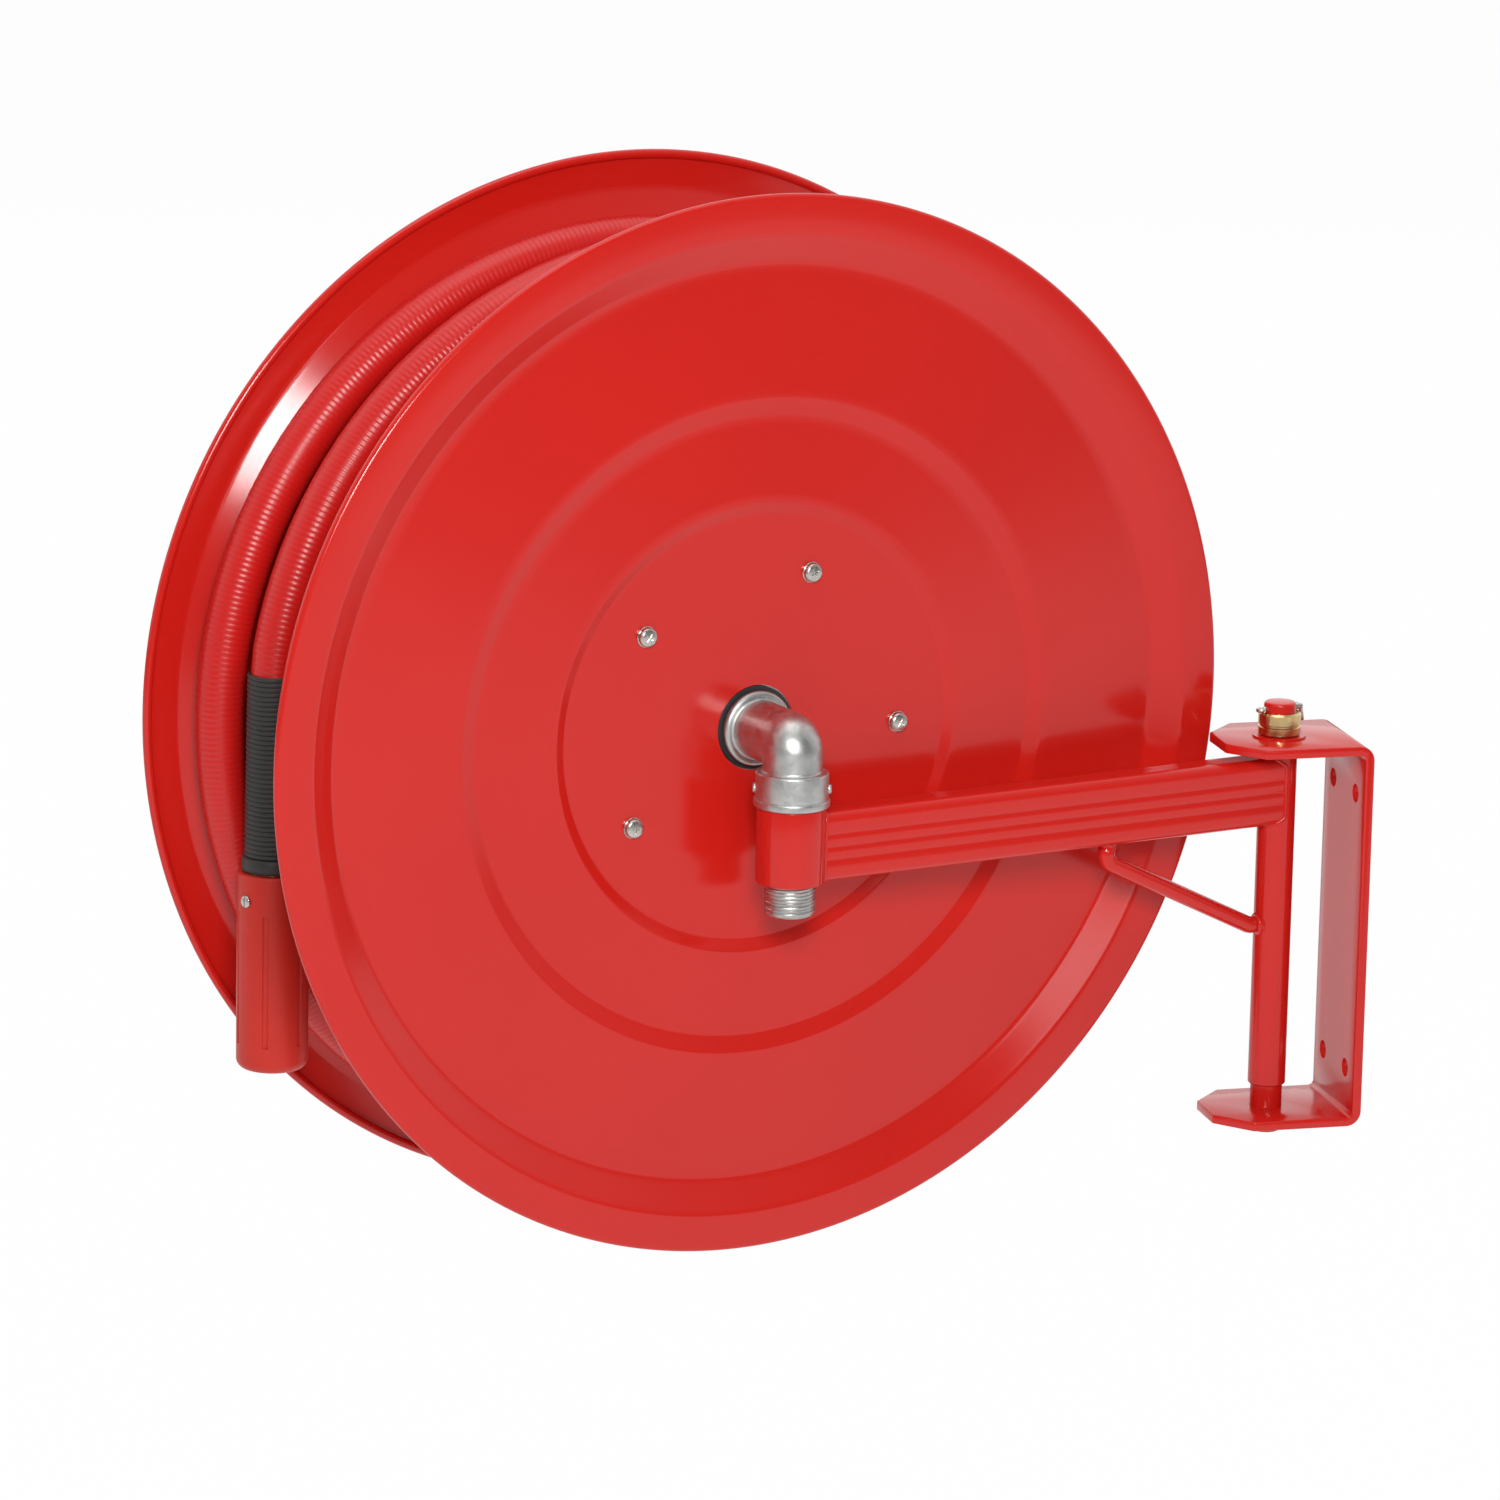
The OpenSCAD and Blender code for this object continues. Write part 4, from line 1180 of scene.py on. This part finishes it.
    def nipple(self) -> Shape:
        """The inlet pipe with its thread cut as a true helix.

        Returns:
            The new mesh.
        """
        z0 = -self.elbow_l - self.sleeve_l - self.inlet_l
        w, root, steps = self.bore / 2, self.pipe_d / 2 - self.thread_deep, self.thread_steps
        mouth, edge, first_z, run_in, first_deep = (1.0, 0.4), 0.8, 1.0, 12, 0.15
        core = turned([(w, z0 + mouth[1]), (w + mouth[0], z0), (root - edge, z0), (root, z0 + edge),
                       (root, -self.elbow_l), (w, -self.elbow_l)], 96)
        turns = (self.inlet_l - self.thread_gap) / self.thread_pitch
        angles = [FULL_TURN * i / steps for i in range(int(turns * steps) + 1)]
        path = [Vector((root * math.cos(a), root * math.sin(a),
                        z0 + first_z + self.thread_pitch * a / FULL_TURN)) for a in angles]
        thread = swept(path, lambda u: self.thread_deep * min(1.0, run_in * u + first_deep), 8)
        return joined(core, thread)

    def make(self) -> None:
        """Builds the visible fittings and dresses the hidden ones."""
        for name, shape, finish, node in (
                ("cast_elbow", self.elbow, GALVANISED, "inlet_elbow"),
                ("welded_sleeve", self.sleeve, PAINT, "inlet_sleeve"),
                ("threaded_inlet", self.nipple, GALVANISED, "inlet_nipple")):
            piece(name, shape(), PLACES.elbow, finish, Body.ARM, node)
        dress(BRASS, "spindle")
        dress(NYLON, "spindle_spacer")
        dress(RUBBER, "spindle_o_rings")
        dress(BRIGHT_ZINC, "spindle_circlip")


# --- Reel ---


@dataclass(frozen=True)
class Discs:
    """The two pressed discs, the drum and the hub between them, and their screws."""

    radius: float = 276.5
    width: float = 155.0
    sheet: float = 1.2
    curl: float = 2.4
    band_foot: float = 239.0
    band_crest: float = 258.0
    step: float = 167.0
    ring: float = 116.0
    field_deep: float = 9.0
    step_deep: float = 3.5
    step_foot_deep: float = 6.0
    ring_deep: float = 3.5
    centre_deep: float = 6.0
    eye_d: float = 44.6
    screw_pcr: float = 84.4
    screw_a0: float = 68.5
    screw_n: int = 5
    screw_d: float = 5.0
    screw_l: float = 11.0
    washer_t: float = 1.0
    screw_ease: float = 0.25
    drill_reach: float = 20.0
    head_d: float = 10.2
    head_h: float = 3.0
    cross_w: float = 0.35
    cross_share: float = 0.22
    cross_deep: float = 0.6
    cross_turn: Point2 = (25.0, 31.0)
    steps: int = 240
    longest_face: float = 5.0

    def sheet_profile(self) -> list[Point2]:
        """Section of the pressed sheet, as radius and depth behind the rim.

        Returns:
            Corners of the section.
        """
        face = [(self.eye_d / 2, self.centre_deep)]
        face += pressed_step(self.ring - 5, self.ring + 2, self.centre_deep, self.ring_deep)
        face += pressed_step(self.step - 5, self.step + 5, self.step_foot_deep, self.step_deep)
        face += pressed_step(self.band_foot, self.band_crest, self.field_deep, 0)
        face = spaced(face, self.longest_face)
        middle = (self.radius - self.curl, self.curl)
        outer = arc(middle, self.curl, -90, 180, 18)
        inner = arc(middle, self.curl - self.sheet, 180, -90, 18)
        back = [(r, depth + self.sheet) for r, depth in reversed(face)]
        return [*face, *outer, *inner, *back]

    def screw_places(self) -> list[Vector]:
        """Where the screws stand, in the plane of a disc.

        Returns:
            The middle of each hole.
        """
        turns = [math.radians(self.screw_a0 + k * 360 / self.screw_n) for k in range(self.screw_n)]
        return [Vector((self.screw_pcr * math.cos(t), 0, self.screw_pcr * math.sin(t)))
                for t in turns]

    def at_screws(self, depth: float, shape: Callable[[int], Shape]) -> Shape:
        """Shapes that stand at every screw's place, with their Z out of the disc.

        Args:
            depth: How deep behind the rim their z = 0 lies.
            shape: Makes the shape of each screw's number.

        Returns:
            All of them as one mesh.
        """
        made = [shape(number) for number in range(self.screw_n)]
        for bm, place in zip(made, self.screw_places()):
            bm.transform(Matrix.Translation(place + Vector((0, depth, 0)))
                         @ Matrix.Rotation(QUARTER, 4, "X"))
        return joined(*made)

    def disc(self) -> Shape:
        """The front disc, with its screw holes.

        Returns:
            The new mesh.
        """
        sheet = turned(self.sheet_profile(), self.steps, ABOUT_REEL)
        through = Vector((0, self.drill_reach, 0))
        holes = [rod(self.screw_d / 2 + self.screw_ease, place - through, place + through, 24)
                 for place in self.screw_places()]
        return drilled(sheet, holes)

    def mirrored(self, bm: Shape) -> Shape:
        """A shape of the front side, turned into one of the rear side.

        Args:
            bm: The front side's shape, which is changed.

        Returns:
            The same mesh.
        """
        bm.transform(Matrix.Translation((0, self.width, 0)) @ Matrix.Scale(-1, 4, (0, 1, 0)))
        bmesh.ops.reverse_faces(bm, faces=bm.faces)
        return bm

    def screw(self, number: int) -> Shape:
        """A pan-headed screw with a cross in its head, turned its own way.

        Args:
            number: The screw's number, from 0.

        Returns:
            The new mesh.
        """
        r, h, low_edge, soft = self.head_d / 2, self.head_h, 0.8, 2
        shank = self.screw_d / 2
        profile = [(0, -self.screw_l), (shank, -self.screw_l), (shank, 0), (r, 0), (r, low_edge),
                   *arc((r - soft, h - soft), soft, 0, 70, 6), (0, h + 0.1)]
        w, reach = self.cross_w, self.head_d * self.cross_share
        quarter = [(w, w), (w, reach), (-w, reach)]
        outline = []
        for _ in range(4):
            outline += quarter
            quarter = [(-y, x) for x, y in quarter]
        cross = extruded(outline, Matrix.Translation((0, 0, h - self.cross_deep)),
                         Vector((0, 0, 2)))
        first, each = self.cross_turn
        cross.transform(Matrix.Rotation(math.radians(first + each * number), 4, "Z"))
        return drilled(turned(profile, 32), [cross])

    def washer(self, _: int) -> Shape:
        """A flat washer.

        Args:
            _: The screw's number. Its washer is like the others.

        Returns:
            The new mesh.
        """
        r, bore = self.screw_d * 1.1, self.screw_d / 2 + self.screw_ease
        t, edge = self.washer_t, 0.2
        return turned([(bore, 0), (r - edge, 0), (r, edge), (r, t - edge), (r - edge, t),
                       (bore, t)], 40)

    def make(self) -> None:
        """Builds the discs and fasteners and dresses the drum and hub."""
        seat = self.centre_deep - self.washer_t
        sides = (("front", lambda bm: bm), ("rear", self.mirrored))
        for side, turn in sides:
            piece(f"pressed_disc_{side}", turn(self.disc()), PLACES.reel, PAINT, Body.REEL,
                  f"{side}_disc")
        for side, turn in sides:
            for name, node, depth, shape in (
                    ("pan_screws", "screws", seat, self.screw),
                    ("flat_washers", "washers", self.centre_deep, self.washer)):
                piece(f"{name}_{side}", turn(self.at_screws(depth, shape)), PLACES.reel,
                      BRIGHT_ZINC, Body.REEL, f"{side}_{node}")
        dress(PAINT, "drum_core")
        dress(GALVANISED, "hub", "front_flange", "rear_flange")
        dress(BRIGHT_ZINC, "flange_nuts", "hose_clamp")
        dress(BRASS, "outlet_elbow")


# --- Hose ---


@dataclass(frozen=True)
class HoseWinding:
    """The one hose, wound from the drum's outlet to the nozzle."""

    hose_d: float = 25.0
    gap: float = 0.6
    layer_r: float = 205.0
    crest_rise: float = 38.0
    tail_rise: float = 25.0
    tail_top: float = 31.0
    climb: float = 0.75
    reel_w: float = 155.0
    field_deep: float = 10.2
    barrel_d: float = 37.0
    layer_step: float = 26.8
    inner_layers: int = 3
    shift: float = 0.26
    turn_in: float = 5.5
    outlet_y: float = 92.0
    outlet_r: float = 62.0
    outlet_x: Point2 = (-16.5, -104.9)
    tail_gap: float = 0.5
    tail_share: float = 0.03
    rise_from: float = 0.25
    cross_over: Point2 = (0.45, 0.4)
    seam_after: float = 0.6

    @property
    def pitch(self) -> float:
        """Distance between two turns of a layer."""
        return self.hose_d + self.gap

    @property
    def front_y(self) -> float:
        """Where the hose lies against the front disc."""
        return self.field_deep + self.hose_d / 2 + self.gap

    @property
    def rear_y(self) -> float:
        """Where the hose lies against the rear disc."""
        return self.reel_w - self.front_y

    @property
    def tail_y(self) -> float:
        """Where the free end hangs."""
        return self.rear_y - self.hose_d / 2 - self.barrel_d / 2 - self.tail_gap

    @property
    def tail_r(self) -> float:
        """Radius at which the free end leaves the winding."""
        return self.layer_r + self.tail_rise

    @property
    def tail_x(self) -> float:
        """Where the free end hangs along the arm."""
        return -math.sqrt(self.tail_r ** 2 - self.tail_top ** 2)

    @property
    def layer_turns(self) -> float:
        """Turns in one inner layer."""
        return (self.rear_y - self.front_y) / self.pitch

    @property
    def total_turns(self) -> float:
        """Turns from the free end to the drum."""
        return self.turn_in + self.inner_layers * self.layer_turns

    def radius_at(self, s: float) -> float:
        """Radius of the middle line, s turns back from the free end.

        Args:
            s: Turns back from the free end.

        Returns:
            The radius in millimetres.
        """
        crest = self.layer_r + self.crest_rise
        if s < 1:
            return self.tail_r + (crest - self.tail_r) * ease((s - self.rise_from) / self.climb)
        r = crest - self.crest_rise * ease((s - 1) / self.climb)
        for layer in range(self.inner_layers):
            start = self.turn_in + layer * self.layer_turns - self.shift
            r -= self.layer_step * ease((s - start) / (2 * self.shift))
        return r

    def lane_at(self, s: float) -> float:
        """Place of the middle line across the reel, s turns back from the free end.

        Args:
            s: Turns back from the free end.

        Returns:
            The distance behind the front rim in millimetres.
        """
        if s < 1:
            first, span = self.cross_over
            return self.tail_y + (self.rear_y - self.tail_y) * ease((s - first) / span)
        if s < self.turn_in:
            lane = self.tail_y + self.pitch / 2 - self.pitch * (s - 2)
            return max(self.front_y, min(self.rear_y, lane))
        layers = (s - self.turn_in) / self.layer_turns
        share = layers - 2 * math.floor(layers / 2)
        share = share if share < 1 else 2 - share
        return self.front_y + (self.rear_y - self.front_y) * share

    def point_at(self, s: float) -> Vector:
        """A point of the middle line, s turns back from the free end.

        Args:
            s: Turns back from the free end.

        Returns:
            The point in the reel's frame.
        """
        turn = math.pi - FULL_TURN * s
        r = self.radius_at(s)
        return Vector((r * math.cos(turn), self.lane_at(s), r * math.sin(turn)))

    def winding(self, first: float, last: float, per_turn: int) -> list[Vector]:
        """Middle line between two counts of turns.

        Args:
            first: Turns back from the free end where it starts.
            last: Turns back from the free end where it stops.
            per_turn: Points in each turn.

        Returns:
            The points in order.
        """
        count = round((last - first) * per_turn)
        return [self.point_at(first + (last - first) * i / count) for i in range(count + 1)]

    def make(self, grip_end: float) -> None:
        """Builds the outer turns with the free end, the inner turns and the inner end.

        Args:
            grip_end: Height of the hose's end in the nozzle.
        """
        seam, steps = self.turn_in + self.seam_after, 12
        hang = self.tail_top - grip_end
        drop = [Vector((self.tail_x, self.tail_y, grip_end + hang * u / steps))
                for u in range(steps)]
        first_x, last_x = self.outlet_x
        start = [Vector((first_x + (last_x - first_x) * u / steps, self.outlet_y, self.outlet_r))
                 for u in range(steps + 1)]
        length = 0.0
        for name, path, sides, nodes in (
                ("hose_outer", drop + self.winding(self.tail_share, seam, 120), 24,
                 ("hose_outer_turns", "hose_free_end")),
                ("hose_inner", self.winding(seam, self.total_turns, 60), 14,
                 ("hose_inner_layers",)),
                ("hose_start", start, 24, ("hose_inner_end",))):
            piece(name, swept(path, self.hose_d / 2, sides, MM), PLACES.reel, HOSE_COVER,
                  Body.REEL, *nodes)
            length += sum((b - a).length for a, b in zip(path, path[1:]))
        log.info("the winding holds %.2f m of hose", length * MM)


# --- Nozzle ---


@dataclass(frozen=True)
class Nozzle:
    """Grip sleeve, barrel and guide screw at the free end of the hose."""

    hose_d: float = 25.0
    grip_top: float = 31.0
    grip_l: float = 102.0
    grip_d: float = 30.0
    grip_top_d: float = 27.2
    collar_h: float = 7.0
    collar_lip: float = 1.2
    ribs: int = 38
    rib_shape: tuple[Point2, ...] = ((0.7, 0.02), (0.25, 0.2), (0, 0.42), (0, 0.62), (0.25, 0.84))
    barrel_d: float = 37.0
    barrel_l: float = 105.0
    barrel_gap: float = 1.3
    stem_d: float = 27.0
    stem_l: float = 62.0
    mouth_d: float = 17.0
    mouth_cone: Point2 = (30.0, 12.0)
    guide_turn: float = 17.0
    guide_drop: float = 14.5
    guide_hole: float = 4.1
    guide_reach: Point2 = (10.0, 30.0)
    flutes: int = 6
    flute_turn: float = 35.0
    flute_d: float = 4.0
    flute_deep: float = 0.9
    flute_ends: Point2 = (14.0, 20.0)

    @property
    def barrel_top(self) -> float:
        """Height where the grip ends and the barrel starts."""
        return self.grip_top - self.grip_l

    def out(self, turn: float) -> Vector:
        """The way out of the axis, at an angle in degrees from the guide screw."""
        angle = math.radians(180 + self.guide_turn + turn)
        return Vector((math.cos(angle), math.sin(angle), 0))

    def grip(self) -> Shape:
        """The ribbed sleeve.

        Returns:
            The new mesh.
        """
        bore, low, edge, soft = self.hose_d / 2 + 0.2, self.barrel_top - 0.5, 0.6, 0.8
        r0, z0 = self.grip_d / 2, self.barrel_top + self.collar_h
        lip_r, neck, tip = r0 + self.collar_lip, (1.2, 0.4), (0.5, 0.4, 0.9)
        slope = (self.grip_d - self.grip_top_d) / 2 / self.grip_l
        pitch = (self.grip_l - self.collar_h) / self.ribs
        profile = [(bore, low), (lip_r - edge, low), (lip_r, low + soft), (lip_r, z0 - neck[0]),
                   (lip_r - edge, z0 - neck[1])]
        for k in range(self.ribs):
            r, z = r0 - slope * (self.collar_h + k * pitch), z0 + k * pitch
            profile += [(r - deep, z + share * pitch) for deep, share in self.rib_shape]
        r, top = self.grip_top_d / 2, self.grip_top
        return turned([*profile, (r - tip[0], top - tip[1]), (r - tip[2], top), (bore, top)], 72)

    def barrel(self) -> Shape:
        """The moulded barrel with its flutes.

        Returns:
            The new mesh.
        """
        r, mouth, bore = self.barrel_d / 2, self.mouth_d / 2, self.stem_d / 2 + 0.1
        top, end = self.barrel_top - self.barrel_gap, self.barrel_top - self.barrel_l
        stem_end, edge, soft = self.barrel_top - self.stem_l, 1.2, 5
        cone_low, cone_high = (stem_end - drop for drop in self.mouth_cone)
        shell = turned([(bore, top), (r - edge, top), *arc((r - edge, top - edge), edge, 90, 0, 4),
                        *arc((r - soft, end + soft), soft, 0, -90, 10), (mouth, end),
                        (mouth, cone_low), (bore, cone_high)], 120)
        low = Vector((0, 0, end + self.flute_ends[0]))
        high = Vector((0, 0, top - self.flute_ends[1]))
        outs = [self.out(self.flute_turn + k * 360 / self.flutes)
                * (r + self.flute_d / 2 - self.flute_deep) for k in range(self.flutes)]
        cutters = [rod(self.flute_d / 2, out + low, out + high, 20) for out in outs]
        seat, (near, far) = Vector((0, 0, self.barrel_top - self.guide_drop)), self.guide_reach
        cutters.append(rod(self.guide_hole / 2, seat + self.out(0) * near,
                           seat + self.out(0) * far, 24))
        return drilled(shell, cutters)

    def screw(self) -> Shape:
        """The slotted screw that guides the barrel.

        Returns:
            The new mesh.
        """
        r, shank, seat, h, edge, soft = 3.2, 2, self.barrel_d / 2, 1.6, 0.5, 1.1
        body = turned([(0, seat - 2 * shank), (shank, seat - 2 * shank), (shank, seat), (r, seat),
                       (r, seat + edge), *arc((r - soft, seat + h - soft), soft, 0, 70, 4),
                       (0, seat + h)], 40)
        slot_w, slot_h = 0.8, 1.4
        slot = bmesh.new()
        bmesh.ops.create_cube(slot, size=1.0)
        bmesh.ops.scale(slot, vec=(3 * r, slot_w, slot_h), verts=slot.verts)
        slot.transform(Matrix.Translation((0, 0, seat + h)))
        made = drilled(body, [slot])
        made.transform(Matrix.Translation((0, 0, self.barrel_top - self.guide_drop))
                       @ Matrix.Rotation(math.radians(180 + self.guide_turn), 4, "Z")
                       @ Matrix.Rotation(QUARTER, 4, "Y"))
        return made

    def make(self) -> None:
        """Builds the sleeve and barrel and dresses the rest."""
        for name, shape, finish, body, node, sharp in (
                ("ribbed_sleeve", self.grip, RUBBER, Body.REEL, "grip_sleeve", 40),
                ("twist_barrel", self.barrel, PLASTIC, Body.BARREL, "nozzle_barrel", 30),
                ("slotted_screw", self.screw, BRIGHT_ZINC, Body.BARREL, "guide_screw", 40)):
            piece(name, shape(), PLACES.nozzle, finish, body, node, sharp=sharp)
        dress(BRASS, "nozzle_body", "nozzle_plunger")
        dress(RUBBER, "nozzle_o_rings")
        dress(NYLON, "nozzle_insert")


def main() -> None:
    """Builds the studio and every sub-assembly in order."""
    logging.basicConfig(level=logging.INFO, format="%(name)s: %(message)s")
    nozzle = Nozzle()
    Studio().make()
    WallBracket().make()
    SwingArm().make()
    WaterWay().make()
    Discs().make()
    HoseWinding().make(nozzle.barrel_top)
    nozzle.make()


if __name__ == "__main__":
    main()
